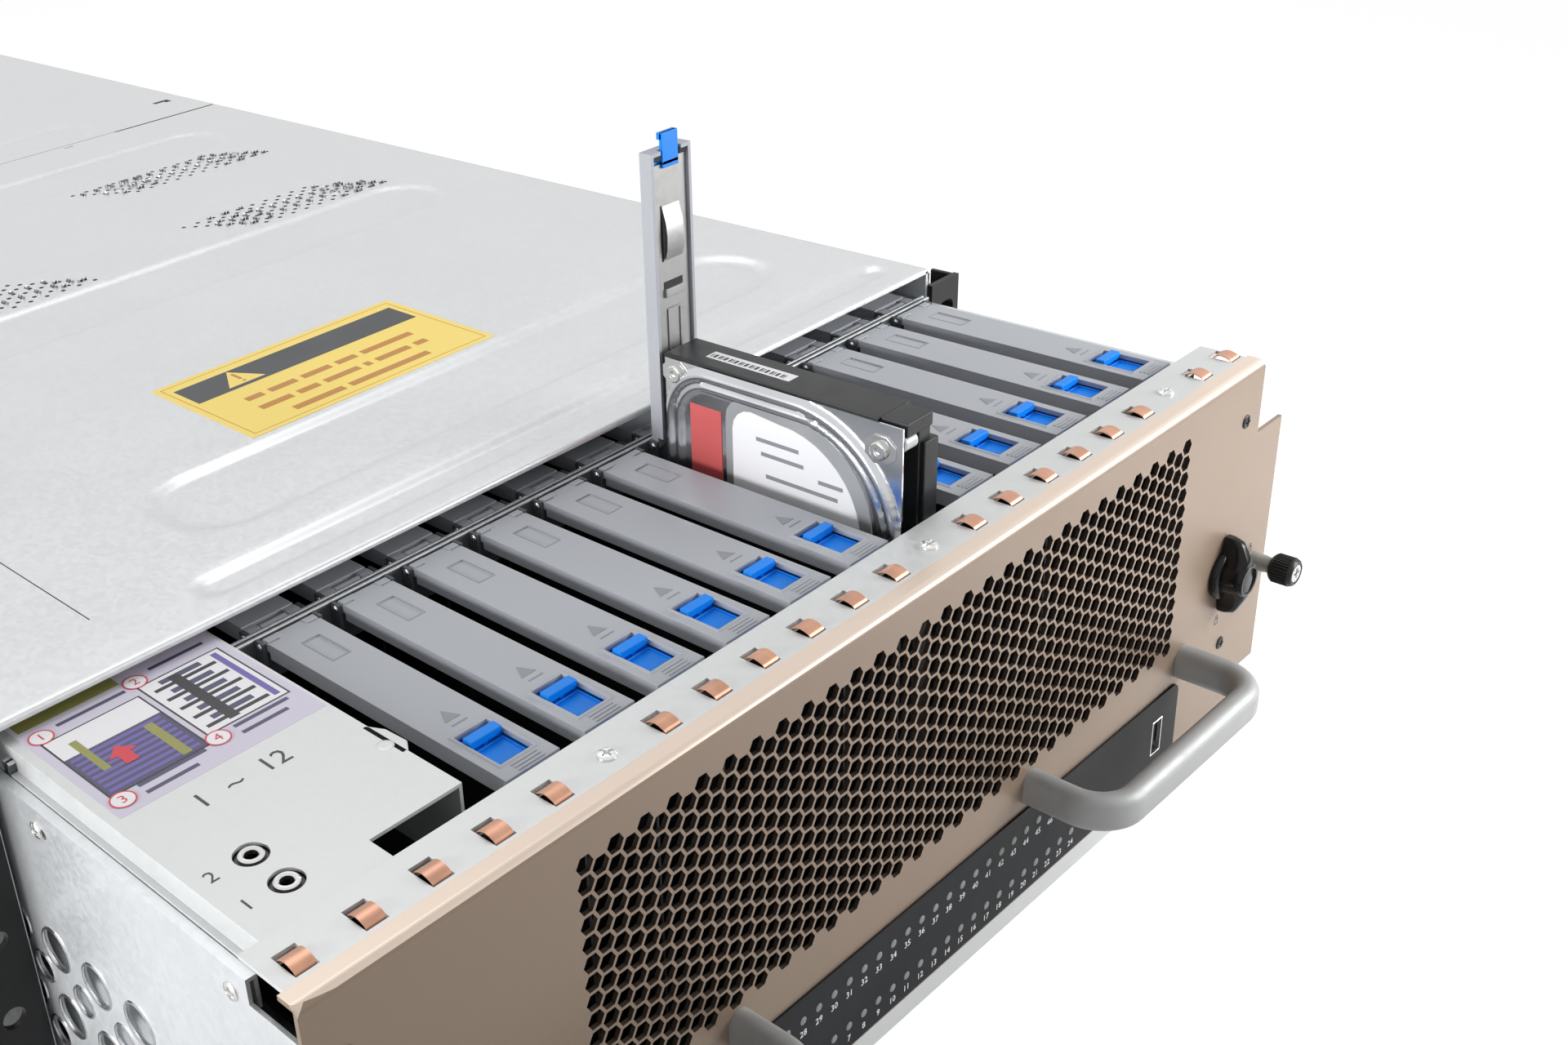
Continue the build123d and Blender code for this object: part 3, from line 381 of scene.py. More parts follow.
painted = add(lattice, "GeometryNodeSetMaterial", {"Geometry": real.outputs[0], "Material": given["Finish"]})
add(lattice, "NodeGroupOutput", {0: painted.outputs[0]})


def repeated(name, shape, material, columns, rows=1, start=(0, 0, 0), column_step=(0, 0, 0), row_step=(0, 0, 0),
             shift=(0, 0, 0), gap=(1, -1)):
    """The lattice's plain mesh, in metres from values in millimetres. The shape itself is used up."""
    holder = thing(name, bpy.data.meshes.new(name))
    pattern = holder.modifiers.new("pattern", "NODES")
    pattern.node_group = lattice
    metres = [[c * MM for c in vector] for vector in (start, column_step, row_step, shift)]
    sockets = [item for item in lattice.interface.items_tree if item.in_out == "INPUT"]
    for socket, value in zip(sockets, (shape, material, columns, rows, *metres, *gap)):
        pattern[socket.identifier] = value
    settled(holder)
    bpy.data.objects.remove(shape)
    holder.data.shade_smooth()
    holder.data.set_sharp_from_angle(angle=math.radians(35))
    return holder


def joined(name, *pieces):
    """Several plain pieces as one, each with its own finish."""
    whole = bmesh.new()
    finishes = []
    for piece in pieces:
        first = len(whole.faces)
        whole.from_mesh(piece.data)
        whole.faces.ensure_lookup_table()
        if piece.data.materials[0] not in finishes:
            finishes.append(piece.data.materials[0])
        for polygon in whole.faces[first:]:
            polygon.material_index = finishes.index(piece.data.materials[0])
    mesh = bpy.data.meshes.new(name)
    whole.to_mesh(mesh)
    whole.free()
    for material in finishes:
        mesh.materials.append(material)
    for piece in pieces:
        bpy.data.objects.remove(piece)
    return thing(name, mesh)


screw_black = finish("blackened screws", tint(38, 38, 40), 0.30, metal=0.5, tone=0.1, tone_size=3.0)
ear_rows = []
for side in (-1, 1):
    head = pan_head(2.8, 1.2, screw_black)
    head.data.transform(Matrix.Translation((side * 0.2245, 0, 0)) @ Matrix.Rotation(side * math.pi / 2, 4, "Y"))
    ear_rows.append(repeated(f"ear_row_{side}", head, screw_black, 3, start=(0, -413, 40),
                             column_step=(0, 0, 48)))
carried(joined("ear_screws", *ear_rows), "chassis", "screw_steel", "chassis_screws")

# Top covers: zinc-coated sheets with long pressed hollows that stiffen them, and fields of small holes.
# The press leaves sloped edges; the front edge and the sides are folded over a small radius.
top = 176.0
cover_half = 223.2
cell = 4.2
field_rows = {"front": (-130.7, 8), "rear": (-26.2, 7)}
field_columns = (-111.7, 62.3)
field_cells = 28


def hollow(x, y, x0, x1, middle, radius, depth, slope):
    """How far a long hollow with round ends lowers the sheet at a point."""
    near = min(max(x, x0 + radius), x1 - radius)
    inside = radius - math.hypot(x - near, y - middle)
    part = min(max(inside / slope, 0.0), 1.0)
    return depth * part * part * (3 - 2 * part)


def spread(*spans):
    """Grid lines from (start, end, step) spans, with none closer than half a millimetre."""
    lines = sorted({round(a + k * (b - a) / max(1, round((b - a) / s)), 3)
                    for a, b, s in spans for k in range(max(1, round((b - a) / s)) + 1)})
    kept = lines[:1]
    for line in lines[1:]:
        if line - kept[-1] > 0.5:
            kept.append(line)
    return kept


def sheet_metal(name, grid, thick, sharp, *materials):
    """A grid of points in millimetres as sheet metal of one gauge; the last material is for its cut edges."""
    grid.transform(Matrix.Scale(MM, 4))
    mesh = bpy.data.meshes.new(name)
    grid.to_mesh(mesh)
    grid.free()
    for material in materials:
        mesh.materials.append(material)
    piece = thing(name, mesh)
    gauge = piece.modifiers.new("gauge", "SOLIDIFY")
    gauge.thickness, gauge.offset = thick * MM, -1.0
    gauge.material_offset_rim = len(materials) - 1
    settled(piece)
    piece.data.shade_smooth()
    piece.data.set_sharp_from_angle(angle=math.radians(sharp))
    return piece


def pressed_sheet(name, node, y0, y1, front_fold, hollows, spots, fields, x_spans, y_spans):
    """A cover as a grid of points: folded sides, pressed hollows and real holes in its fields."""
    fixed_x = [start + k * cell for start in field_columns for k in range(field_cells + 1)] if fields else []
    fixed_y = [start + k * cell for start, rows in fields for k in range(rows + 1)]
    side = [(0.0, 14.0), (0.0, 2.0), (0.27, 1.0), (1.0, 0.27), (2.0, 0.0)]
    inner_x = [x for x in spread((4 - cover_half, cover_half - 4, 9.0), *x_spans)
               if not any(abs(x - f) < 1.3 for f in fixed_x)]
    xs = ([(a - cover_half, drop) for a, drop in side] + [(x, 0.0) for x in sorted(inner_x + fixed_x)]
          + [(cover_half - a, drop) for a, drop in reversed(side)])
    inner_y = [y for y in spread((y0 + (3 if front_fold else 0), y1, 9.0), *y_spans)
               if not any(abs(y - f) < 1.3 for f in fixed_y)]
    nose = [(0.0, 2.2), (0.0, 1.2), (0.3, 0.5), (0.8, 0.12), (1.6, 0.0)] if front_fold else []
    ys = [(y0 + a, drop) for a, drop in nose] + [(y, 0.0) for y in sorted(inner_y + fixed_y)]
    sheet = bmesh.new()

    def height(x, y):
        low = sum(hollow(x, y, *values) for values in hollows)
        return top - low - sum(deep * max(0.0, 1 - math.hypot(x - a, y - b) / size) ** 0.7
                               for a, b, size, deep in spots if math.hypot(x - a, y - b) < size)
    grid = [[sheet.verts.new((x, y, min(height(x, y), top - max(dx, dy)))) for x, dx in xs] for y, dy in ys]
    for j in range(len(ys) - 1):
        for i in range(len(xs) - 1):
            corners = grid[j][i], grid[j][i + 1], grid[j + 1][i + 1], grid[j + 1][i]
            x, y = (xs[i][0] + xs[i + 1][0]) / 2, (ys[j][0] + ys[j + 1][0]) / 2
            holed = False
            for start, rows in fields:
                places = [round((x - left) / cell - 0.5) for left in field_columns
                          if left < x < left + field_cells * cell]
                if start < y < start + rows * cell and places:
                    place, row = places[0], round((y - start) / cell - 0.5)
                    holed = (place + row) % 2 == 0 and rows - 2 < place + row < field_cells
            if not holed:
                sheet.faces.new(corners)
                continue
            z = corners[0].co.z
            ring = [sheet.verts.new((x + 1.28 * math.cos(math.pi / 4 * k - math.pi * 5 / 8),
                                     y + 1.28 * math.sin(math.pi / 4 * k - math.pi * 5 / 8),
                                     z)) for k in range(8)]
            for k in range(4):
                sheet.faces.new((corners[k], corners[(k + 1) % 4], ring[2 * k + 1], ring[2 * k]))
                sheet.faces.new((corners[(k + 1) % 4], ring[(2 * k + 2) % 8], ring[2 * k + 1]))
    # The walls of the holes and the sheet's cut edges take zinc_shade, a painted shade.
    piece = sheet_metal(name, sheet, 1.1, 40, zinc, zinc_shade)
    return carried(piece, "chassis", "front_cover_steel", node)


long_hollow = 25.0
hollows = [(-118, 192, -362, 26.0, 1.9, 6.5), (-137.5, 214, -412.5, 8.8, 1.6, 5.5),
           (-126, 184, -158, long_hollow, 1.4, 6.0), (-126, 184, 33, long_hollow, 1.4, 6.0)]
slopes = [(middle + edge * radius - 8 * (edge > 0), middle + edge * radius + 8 * (edge < 0), 1.2)
          for _, _, middle, radius, _, _ in hollows for edge in (-1, 1)]
middles = [(middle - radius, middle + radius, 2.6) for _, _, middle, radius, _, _ in hollows]
pressed_sheet("front_cover_sheet", "front_top_cover", -430.0, 96.0, True, hollows,
              [(206.0, -410.0, 3.4, 0.7), (106.7, 89.0, 1.6, -0.5), (-8.7, -181, 1.2, 0.3),
               (52.2, -177, 1.2, 0.3)],
              list(field_rows.values()),
              [(-139, -90, 2.2), (150, 216, 1.8)], slopes + middles + [(-416, -404, 0.9)])
pressed_sheet("rear_cover_sheet", "rear_top_cover", 96.6, 430.0, False,
              [(-150, 150, 124, 20.0, 1.2, 6.0), (-150, 150, 300, 26.0, 1.4, 6.0)],
              [(194, 278.7, 1.5, -0.4), (195, 185.5, 1.5, -0.4), (166.6, 187.8, 1.5, -0.4),
               (166.2, 153.8, 1.5, -0.4), (196.9, 153.8, 1.5, -0.4)],
              [], [(-152, -118, 2.6), (118, 152, 2.6), (160, 200, 1.3)],
              [(103, 145, 1.8), (273, 327, 2.4), (150, 157, 1.2), (184, 190, 1.2), (276, 281, 1.2)])

# Small openings in the covers: a keyhole slot, the wider end of the seam and a fine slit.
# Each shows as a dark patch that lies a hair above the sheet.
shadow_black = finish("shadow in an opening", tint(22, 23, 25), 0.7, tone=0.1)
marks = Made()
for x0, x1, y0, y1 in ((149.3, 220.0, 94.9, 96.3), (-167.0, -166.6, -400.0, -262.0),
                       (201.0, 211.5, 131.0, 134.5),
                       (207.5, 211.5, 128.5, 131.2), (112.0, 118.0, 91.3, 91.9)):
    marks.block(x0, x1, y0, y1, top - 0.4, top + 0.03)
marks.place("cover_openings", shadow_black, "chassis", "front_cover_steel")

# Yellow sticker on the cover: film with a dark band, a triangle round a bar and a dot, and a fine line.
# Plain bars stand below the band. The film lies flat on the sheet and bridges the hollow below it.
face = -576.0
sticker_yellow = finish("yellow film", tint(255, 226, 116), 0.45, tone=0.015, tone_size=60.0)
sticker_dark = finish("dark print", tint(62, 64, 68), 0.5, tone=0.03)
sticker_line = finish("brown line print", tint(196, 136, 60), 0.5, tone=0.03)
sx0, sx1, sy0, sy1 = -57.8, 62.6, -333.8, -265.1
Made().block(sx0, sx1, sy0, sy1, top + 0.02, top + 0.14).place("sticker_film", sticker_yellow, "chassis",
                                                              "front_cover_steel", bevel=0.05, parts=1)
Made().block(sx0 + 5.4, sx1 - 5.4, sy1 - 25.8, sy1 - 7.8, top + 0.1, top + 0.18).place(
    "sticker_band", sticker_dark, "chassis", "front_cover_steel")
Made().prism([(-36.5, -288.4), (-19.1, -288.4), (-27.8, -273.6)], "z", top + 0.17, top + 0.2).place(
    "sticker_triangle", sticker_yellow, "chassis", "front_cover_steel")
sticker_bars = Made()
sticker_bars.block(-28.5, -27.1, -284.0, -277.0, top + 0.19, top + 0.22)
sticker_bars.block(-28.5, -27.1, -286.8, -285.4, top + 0.19, top + 0.22)
for y, spans in ((-305.0, ((-39, -31), (-28, -15), (-12, 2), (5, 15), (18, 44))),
                 (-315.8, ((-40, -25), (-22, -12), (-9, 8), (11, 14), (17, 34), (37, 43))),
                 (-326.6, ((-32, -8), (-5, 35)))):
    for x0, x1 in spans:
        sticker_bars.block(x0, x1, y, y + 4.0, top + 0.12, top + 0.17)
sticker_bars.place("sticker_bars", sticker_line, "chassis", "front_cover_steel")
Made().border("z", top + 0.1, top + 0.17, sx0 + 2.6, sx1 - 2.6, sy0 + 2.6, sy1 - 2.6, 0.35).place(
    "sticker_border", sticker_line, "chassis", "front_cover_steel")

# Drawer: a tub of the same zinc-coated sheet, with hems along its top and a field of vent holes.
# Each hole's rim is rolled, so it shows as a bright ring.
Made("drawer_tub").place("tub", zinc_wall, "drawer", "drawer_steel", "drawer_tub", bevel=0.3)
rims = []
wall_x = 219.5
for side in (-1, 1):
    for radius, count, first_y, first_z in ((7.0, 8, 86.7, 108.5), (5.0, 7, 97.7, 95.9)):
        rim = Made().donut("x", side * wall_x, 0, 0, radius + 0.1, 0.5, steps=28, sides=6).loose("rim",
                                                                                                 bright_steel)
        rims.append(repeated(f"rims_{side}_{radius}", rim, bright_steel, count, 2,
                             start=(0, face + first_y, first_z), column_step=(0, 22.0, 0),
                             row_step=(0, 0, -25.2)))
carried(joined("hole_rims", *rims), "drawer", "drawer_steel")
liners = Made()
for x in (-213.6, 212.8):
    liners.block(x, x + 0.8, face + 70, face + 250, 60, 120)
liners.place("wall_liners", zinc_wall, "drawer", "drawer_steel")

# Frame behind the front panel: posts, sill and the slotted top flange, bent from zinc-coated sheet.
# Its edges catch the light where the shears left them.
zinc_label = finish("pale zinc-coated plate", tint(205, 207, 207), 0.42, metal=0.35, tone=0.015, tone_size=60.0,
                    flake_size=1.7, grain=0.004, grain_size=0.8)
Made("front_frame").place("flange_frame", zinc_label, "drawer", "drawer_steel", "front_frame", bevel=0.22)

# Contact strips: thin copper-coloured springs arched over the flange's slots, to touch the cover.
# Each dives into its slot at the rear, where the dark slot shows.
copper = finish("copper alloy", tint(200, 150, 124), 0.34, metal=0.5, tone=0.10, tone_size=5.0,
                stretch=(1.0, 0.3, 1.0), grain=0.004, grain_size=0.4)
flange_top = 171.0
arch = [(8.9, -1.0), (9.1, 0.2), (9.9, 0.85), (11.3, 1.35), (12.9, 1.6), (14.4, 1.3), (15.5, 0.7), (16.1, -0.1),
        (16.3, -1.0)]
under = [(y, z - 0.35) for y, z in reversed(arch)]
strip_outline = [(face + y, flange_top + z) for y, z in arch + under]
strip = Made().prism(strip_outline, "x", -3.1, 3.1).loose("strip", copper, sharp=50)
strip_pitch = 20.4
first_strip = strip_pitch * (1 - 11.5) + 1.9
carried(repeated("contact_strips", strip, copper, 22, start=(first_strip, 0, 0),
                 column_step=(strip_pitch, 0, 0), gap=(7, 5)), "drawer", "copper", "emi_fingers")

# Drawer screws: three bright pan heads in the flange, four black ones in the panel, three in the left wall.
# The flange's screws sit in shallow countersinks.
nickel = finish("nickel-plated screws", tint(226, 226, 224), 0.18, metal=0.9, tone=0.05, tone_size=3.0)
flange_head = pan_head(2.9, 1.2, nickel)
flange_head.data.transform(Matrix.Translation((0, 0, flange_top * MM)))
flange_row = repeated("flange_row", flange_head, nickel, 3,
                      start=(first_strip + 5 * strip_pitch, face + 13.8, 0),
                      column_step=(7 * strip_pitch, 0, 0))
wall_head = pan_head(2.8, 1.0, nickel)
wall_head.data.transform(Matrix.Translation((-wall_x * MM, 0, 0)) @ Matrix.Rotation(-math.pi / 2, 4, "Y"))
wall_row = repeated("wall_row", wall_head, nickel, 3, start=(0, face + 32, 155), column_step=(0, 91.5, 0))
carried(joined("drawer_screw_heads", flange_row, wall_row), "drawer", "screw_steel", "drawer_screws")
panel_head = pan_head(2.7, 0.7, screw_black)
panel_head.data.transform(Matrix.Translation((0, face * MM, 0)) @ Matrix.Rotation(math.pi / 2, 4, "X"))
carried(repeated("panel_screw_heads", panel_head, screw_black, 2, 2, start=(-211.3, 0, 54.9),
                 column_step=(422.6, 0, 0), row_step=(0, 0, 95.1)), "drawer", "screw_steel")

# Front panel: pale gold satin paint over sheet steel, with a hexagonal mesh and a folded top edge.
# The fold is drawn over a radius. Its top is painted lighter as a painted highlight, and the walls of the
# mesh's holes darker as painted shade.
gold_paint = finish("pale gold satin paint", tint(137, 119, 103), 0.36, metal=0.25, tone=0.015, tone_size=80.0,
                    grain=0.010, grain_size=0.22)
# Painted shade: a dark paint on the walls of the mesh's holes.
gold_shade = finish("painted shade in the mesh's holes", tint(62, 52, 44), 0.55, tone=0.05, shine=0.2)
knob_x, thumb_x, thumb_z = 206.0, 231.7, 83.0
panel = Made("front_panel")
sleeves = [v for v in panel.mesh.verts if math.hypot(abs(v.co.x) - thumb_x, v.co.z - thumb_z) < 3.45]
bmesh.ops.delete(panel.mesh, geom=sleeves, context="VERTS")
fold = [e for e in panel.mesh.edges if all(abs(v.co.z - flange_top) < 0.02 and abs(v.co.y - face) < 0.02
                                           for v in e.verts)]
bmesh.ops.bevel(panel.mesh, geom=fold, offset=2.6, segments=6, profile=0.5, affect="EDGES")
panel_piece = panel.loose("gold_panel", gold_paint, sharp=30)
# Painted highlight: a lighter paint on the top of the fold.
gold_highlight = finish("painted highlight on the fold", tint(222, 204, 188), 0.3, metal=0.25, tone=0.015, tone_size=80.0,
                   grain=0.006, grain_size=0.22)
panel_piece.data.materials.append(gold_shade)
panel_piece.data.materials.append(gold_highlight)
# Faces on top of the fold take the painted highlight, and the walls of the holes the painted shade.
for polygon in panel_piece.data.polygons:
    x, y, z = polygon.center / MM
    if polygon.normal.z > 0.6 and z > 169:
        polygon.material_index = 2
    if abs(polygon.normal.y) < 0.3 and -137 < x < 170.5 and 64 < z < 160.5:
        polygon.material_index = 1
carried(panel_piece, "drawer", "bezel_paint", "front_panel")
lock_marks = Made()
for side in (-1, 1):
    for x, z in ((knob_x, 67.3), (228.0, 89.6)):
        lock_marks.border("y", face - 0.06, face + 0.1, side * x - 1.3, side * x + 1.3, z - 1.5, z + 1.1, 0.4)
        lock_marks.border("y", face - 0.06, face + 0.1, side * x - 0.8, side * x + 0.8, z + 1.1, z + 2.4, 0.35)
print_dark = finish("dark print", tint(56, 56, 60), 0.5, tone=0.03)
lock_marks.place("lock_marks", print_dark, "drawer", "bezel_paint")

# Light strip: a dark slate film plate along the panel's foot, with 48 small windows in two rows.
# The windows are grey lenses, and each has its plain number printed below it.
slate = finish("slate film", tint(20, 22, 25), 0.45, tone=0.04, tone_size=50.0, grain=0.006, grain_size=0.3,
               shine=0.18)
lens_grey = finish("grey lenses", tint(122, 126, 128), 0.4, tone=0.05, tone_size=3.0)
print_white = finish("white print", tint(226, 228, 230), 0.5, tone=0.02)
paint(slate, "led_strip")
lens_dome = Made().lathe([(face - 0.1, 1.5), (face - 0.86, 1.5), (face - 1.0, 1.25), (face - 1.06, 0.7)],
                         "y", 0, 0, steps=20).loose("lens", lens_grey)
light_pitch = 7.72
first_light = 17.35 - 11.5 * light_pitch
carried(repeated("light_lenses", lens_dome, lens_grey, 24, 2, start=(first_light, 0, 44.5),
                 column_step=(light_pitch, 0, 0),
                 row_step=(0, 0, -18.7)), "drawer", "light_grey", "led_windows")
numbers = Made()
for light in range(24):
    for number, z in ((light + 25, 39.3), (light + 1, 20.6)):
        numbers.words(str(number), 3.5, Matrix.Translation((first_light + light * light_pitch, face - 0.84, z))
                      @ Matrix.Rotation(math.pi / 2, 4, "X"), depth=0.03)
numbers.place("light_numbers", print_white, "drawer", "bezel_paint")

# Data socket in the strip and two jacks in the label plate: plated shells around black plastic.
# The upright socket's tongue and the jacks' bores lie in shade.
plated = finish("bright plating", tint(215, 215, 213), 0.16, metal=0.95, tone=0.04, tone_size=4.0)
black_plastic = finish("black plastic", tint(24, 24, 26), 0.35, tone=0.08, tone_size=8.0, grain=0.01,
                       grain_size=0.3)
px, pz = 164.8, 35.8
Made().border("y", face - 0.9, face + 14.0, px - 3.5, px + 3.5, pz - 7.6, pz + 7.6, 0.5).place(
    "port_shell", plated, "drawer", "port_metal", "ports", bevel=0.12, parts=1)
socket_inside = Made().block(px + 0.4, px + 2.0, face + 1.0, face + 13.5, pz - 5.1, pz + 5.1)
socket_inside.block(px - 3.0, px + 3.0, face + 12.5, face + 13.4, pz - 7.1, pz + 7.1)
jack_top = 170.0
jack_x, jack_places = -196.1, (face + 38.2, face + 53.0)
for y in jack_places:
    socket_inside.lathe([(jack_top - 12, 4.6), (jack_top - 1.4, 4.6), (jack_top - 1.4, 1.9),
                         (jack_top - 9, 1.9)],
                        "z", jack_x, y)
socket_inside.place("socket_plastic", black_plastic, "drawer", "port_metal", bevel=0.08, parts=1)
jack_rings = Made()
collar = [(jack_top + z, radius) for radius, z in
          ((1.9, -3.0), (1.9, -0.2), (2.3, 0.15), (3.1, 0.15), (3.5, -0.2), (3.5, -3.0))]
for y in jack_places:
    jack_rings.lathe(collar, "z", jack_x, y, caps=False)
jack_rings.place("jack_rings", plated, "drawer", "port_metal")

# Handles: oval bars of satin aluminium, bent to a U, one near each end of the panel.
# Their skin is bead-blasted, so it takes the light softly.
satin = finish("satin aluminium", tint(156, 157, 157), 0.5, metal=0.25, tone=0.03, tone_size=5.0, grain=0.008,
               grain_size=0.35)
Made("handles").place("handle_bars", satin, "drawer", "handle_aluminium", "handles", sharp=60)

# Quarter-turn knobs: glossy black mouldings with a wing across a round foot and a hollow hub cap.
# The wing is deepest at the hub and thins towards its tips.
knob_gloss = finish("glossy black moulding", tint(8, 8, 9), 0.2, tone=0.05, tone_size=20.0, grain=0.003,
                    grain_size=1.0, shine=0.28)
sides = (-1, "left"), (1, "right")
for side, word in sides:
    x, z = side * knob_x, 89.0
    knob = Made().lathe([(face - 0.3, 10.4), (face - 1.9, 10.4), (face - 2.9, 9.8), (face - 3.4, 8.6)], "y",
                        x, z, steps=48)
    rings = []
    for step in range(25):
        along = step / 12 - 1.0
        near = max(0.0, 1 - abs(along))
        width = 2.3 + 5.4 * near ** 1.9
        depth = 5.4 + 4.7 * min(1.0, 1.9 * near) ** 0.8
        end = min(1.0, 0.62 + 7 * near)
        ring = []
        for k in range(17):
            turn = math.pi * k / 16
            ca, sa = math.cos(turn), math.sin(turn)
            ring.append((x + width * end * math.copysign(abs(ca) ** 0.6, ca),
                         face - 0.5 - depth * end * abs(sa) ** 0.45, z + 16.0 * along))
        rings.append(ring)
    knob.skin(rings)
    knob.lathe([(face - 0.5, 7.4), (face - 8.0, 6.9), (face - 10.3, 6.6), (face - 10.9, 6.1),
                (face - 10.9, 5.2), (face - 10.2, 5.0)], "y", x, z, steps=40)
    knob.lathe([(face - 2.0, 3.0), (face + 8.7, 3.0)], "y", x, z, steps=20)
    knob.block(x - 3.0, x + 3.0, face + 6.2, face + 8.7, z - 7.5, z + 3.0)
    knob.place(f"knob_{word}_moulding", knob_gloss, f"knob_{word}", "knob_plastic", f"knob_{word}", sharp=40)
    Made().prism([(x - 1.0, z - 3.6), (x + 1.2, z - 3.4), (x + 0.6, z + 3.6), (x - 1.3, z + 3.2)], "y",
                 face - 10.35,
                 face - 10.15).place(f"knob_{word}_slot", black_plastic, f"knob_{word}", "knob_plastic")

# Thumbscrews: knurled black heads with a bright face and cross recess, captive in plated sleeves.
# The knurl is straight, and the sleeves are pressed into the panel's ears.
knurl_black = finish("black knurled ring", tint(12, 12, 14), 0.34, tone=0.08, tone_size=4.0, shine=0.35)
sleeve_grey = finish("dull plating", tint(150, 155, 150), 0.45, metal=0.4, tone=0.05, tone_size=4.0)
face_steel = finish("brushed screw face", tint(188, 188, 186), 0.38, metal=0.5, tone=0.04, tone_size=3.0)
for side, word in sides:
    x, z = side * thumb_x, thumb_z
    head = Made()
    for points, flute in (([(-8.1, 4.6), (-8.7, 5.3), (-9.4, 5.6)], 0.0), ([(-9.4, 5.85), (-15.8, 5.85)], 0.25),
                          ([(-15.8, 5.7), (-16.9, 5.3), (-17.4, 4.6), (-17.4, 3.9), (-17.0, 3.8)], 0.0)):
        head.lathe([(face + y, r) for y, r in points], "y", x, z, steps=64, flute=flute)
    head.place(f"thumb_{word}_head", knurl_black, f"thumbscrew_{word}", "thumb_black", f"thumbscrew_{word}")
    disc = Made().lathe([(face - 16.6, 3.55), (face - 17.25, 3.55), (face - 17.35, 3.3)], "y", x, z,
                        steps=32).loose(f"thumb_{word}_face", face_steel)
    for a, b in ((2.2, 0.5), (0.5, 2.2)):
        cut(disc, Made().block(x - a, x + a, face - 18, face - 16.8, z - b, z + b).loose("cutter", face_steel))
    carried(disc, f"thumbscrew_{word}", "screw_steel")
    Made().lathe([(face - 16.9, 2.6), (face - 16.75, 2.6)], "y", x, z).place(
        f"thumb_{word}_recess", knurl_black, f"thumbscrew_{word}", "thumb_black")
    Made().lathe([(face - 8.4, 1.85), (face + 6.4, 1.85)], "y", x, z, steps=20).place(
        f"thumb_{word}_shank", nickel, f"thumbscrew_{word}", "screw_steel")
    sleeve = [(0.0, 3.4), (-5.2, 3.4), (-5.6, 3.15), (-7.4, 3.15), (-7.7, 2.9), (-7.7, 2.05), (1.4, 2.05),
              (1.4, 3.4)]
    Made().lathe([(face + y, radius) for y, radius in sleeve], "y", x, z, steps=36, caps=False).place(
        f"thumb_{word}_sleeve", sleeve_grey, "drawer", "port_metal")

# Label plate: a zinc-coated cover left of the bays, stepped down to the drawer's wall.
# It carries the printed sheet, plain figures and the jacks, and a flex label stands in its front notch.
Made("label_plate").place("label_cover", zinc_label, "drawer", "drawer_steel", "label_plate", bevel=0.5,
                          parts=3)
paper_white = finish("white paper", tint(240, 240, 243), 0.55, tone=0.015, tone_size=50.0)
plate_words = Made()
flat = Matrix.Translation((-179.0, face + 80.5, jack_top + 0.02))
plate_words.words("1  ~  12", 9.5, flat, depth=0.02)
plate_words.words("2", 6.5, Matrix.Translation((-208.0, face + 53.0, jack_top + 0.02)), depth=0.02)
plate_words.words("1", 6.5, Matrix.Translation((-208.0, face + 38.0, jack_top + 0.02)), depth=0.02)
plate_words.place("plate_figures", print_dark, "drawer", "drawer_steel")
tab = Made().prism([(-144.0, face + 74.5), (-142.2, face + 74.5), (-139.4, face + 69.0), (-139.0, face + 60.5),
                    (-141.9, face + 56.5), (-144.0, face + 56.5)], "z", jack_top - 1.2, jack_top)
tab.place("label_tab", zinc_label, "drawer", "drawer_steel", bevel=0.5, parts=3)
Made().lathe([(jack_top - 0.05, 2.6), (jack_top + 0.1, 2.4), (jack_top + 0.22, 1.6),
              (jack_top + 0.12, 0.9)], "z",
             -144.6, face + 63.0).place("label_dimple", zinc_label, "drawer", "drawer_steel", sharp=80)
flex_turn = Matrix.Translation((-157.0, -545.0, 158.0)) @ Matrix.Rotation(math.radians(-62), 4, "X")
Made().block(-7.5, 7.5, -6.5, 6.5, -0.1, 0.1).place("flex_label", paper_white, "drawer", "drawer_steel",
                                                    turn=flex_turn)
flex_bars = Made()
for x0, x1, y in ((-6.0, -1.5, 3.0), (-0.5, 5.5, 3.0), (-6.0, 2.5, 0.0), (-6.0, -3.0, -3.0), (-2.0, 4.0, -3.0)):
    flex_bars.block(x0, x1, y, y + 1.6, 0.1, 0.16)
flex_bars.place("flex_bars", print_dark, "drawer", "drawer_steel", turn=flex_turn)

# Printed sheet on the label plate: lavender paper with numbered panels of plain bars and an arrow.
# Its figures are 1 to 4 in red rings, with grey bars beside them.
inks = {"lilac": finish("lilac paper", tint(214, 208, 224), 0.55, tone=0.02, tone_size=50.0),
        "white": paper_white,
        "violet": finish("violet print", tint(112, 100, 170), 0.5, tone=0.05, tone_size=10.0),
        "slate": finish("slate print", tint(78, 76, 104), 0.5, tone=0.05, tone_size=10.0),
        "red": finish("red print", tint(214, 62, 74), 0.5, tone=0.02),
        "olive": finish("olive print", tint(150, 150, 84), 0.5, tone=0.06, tone_size=8.0),
        "ink": finish("black ink", tint(40, 40, 44), 0.5, tone=0.03)}
layers = {name: Made() for name in inks}


def printed(layer, x0, x1, y0, y1, level):
    """A printed field that lies one film above the last."""
    low = jack_top + level * 0.03
    layers[layer].block(x0, x1, face + y0, face + y1, low, low + 0.03)


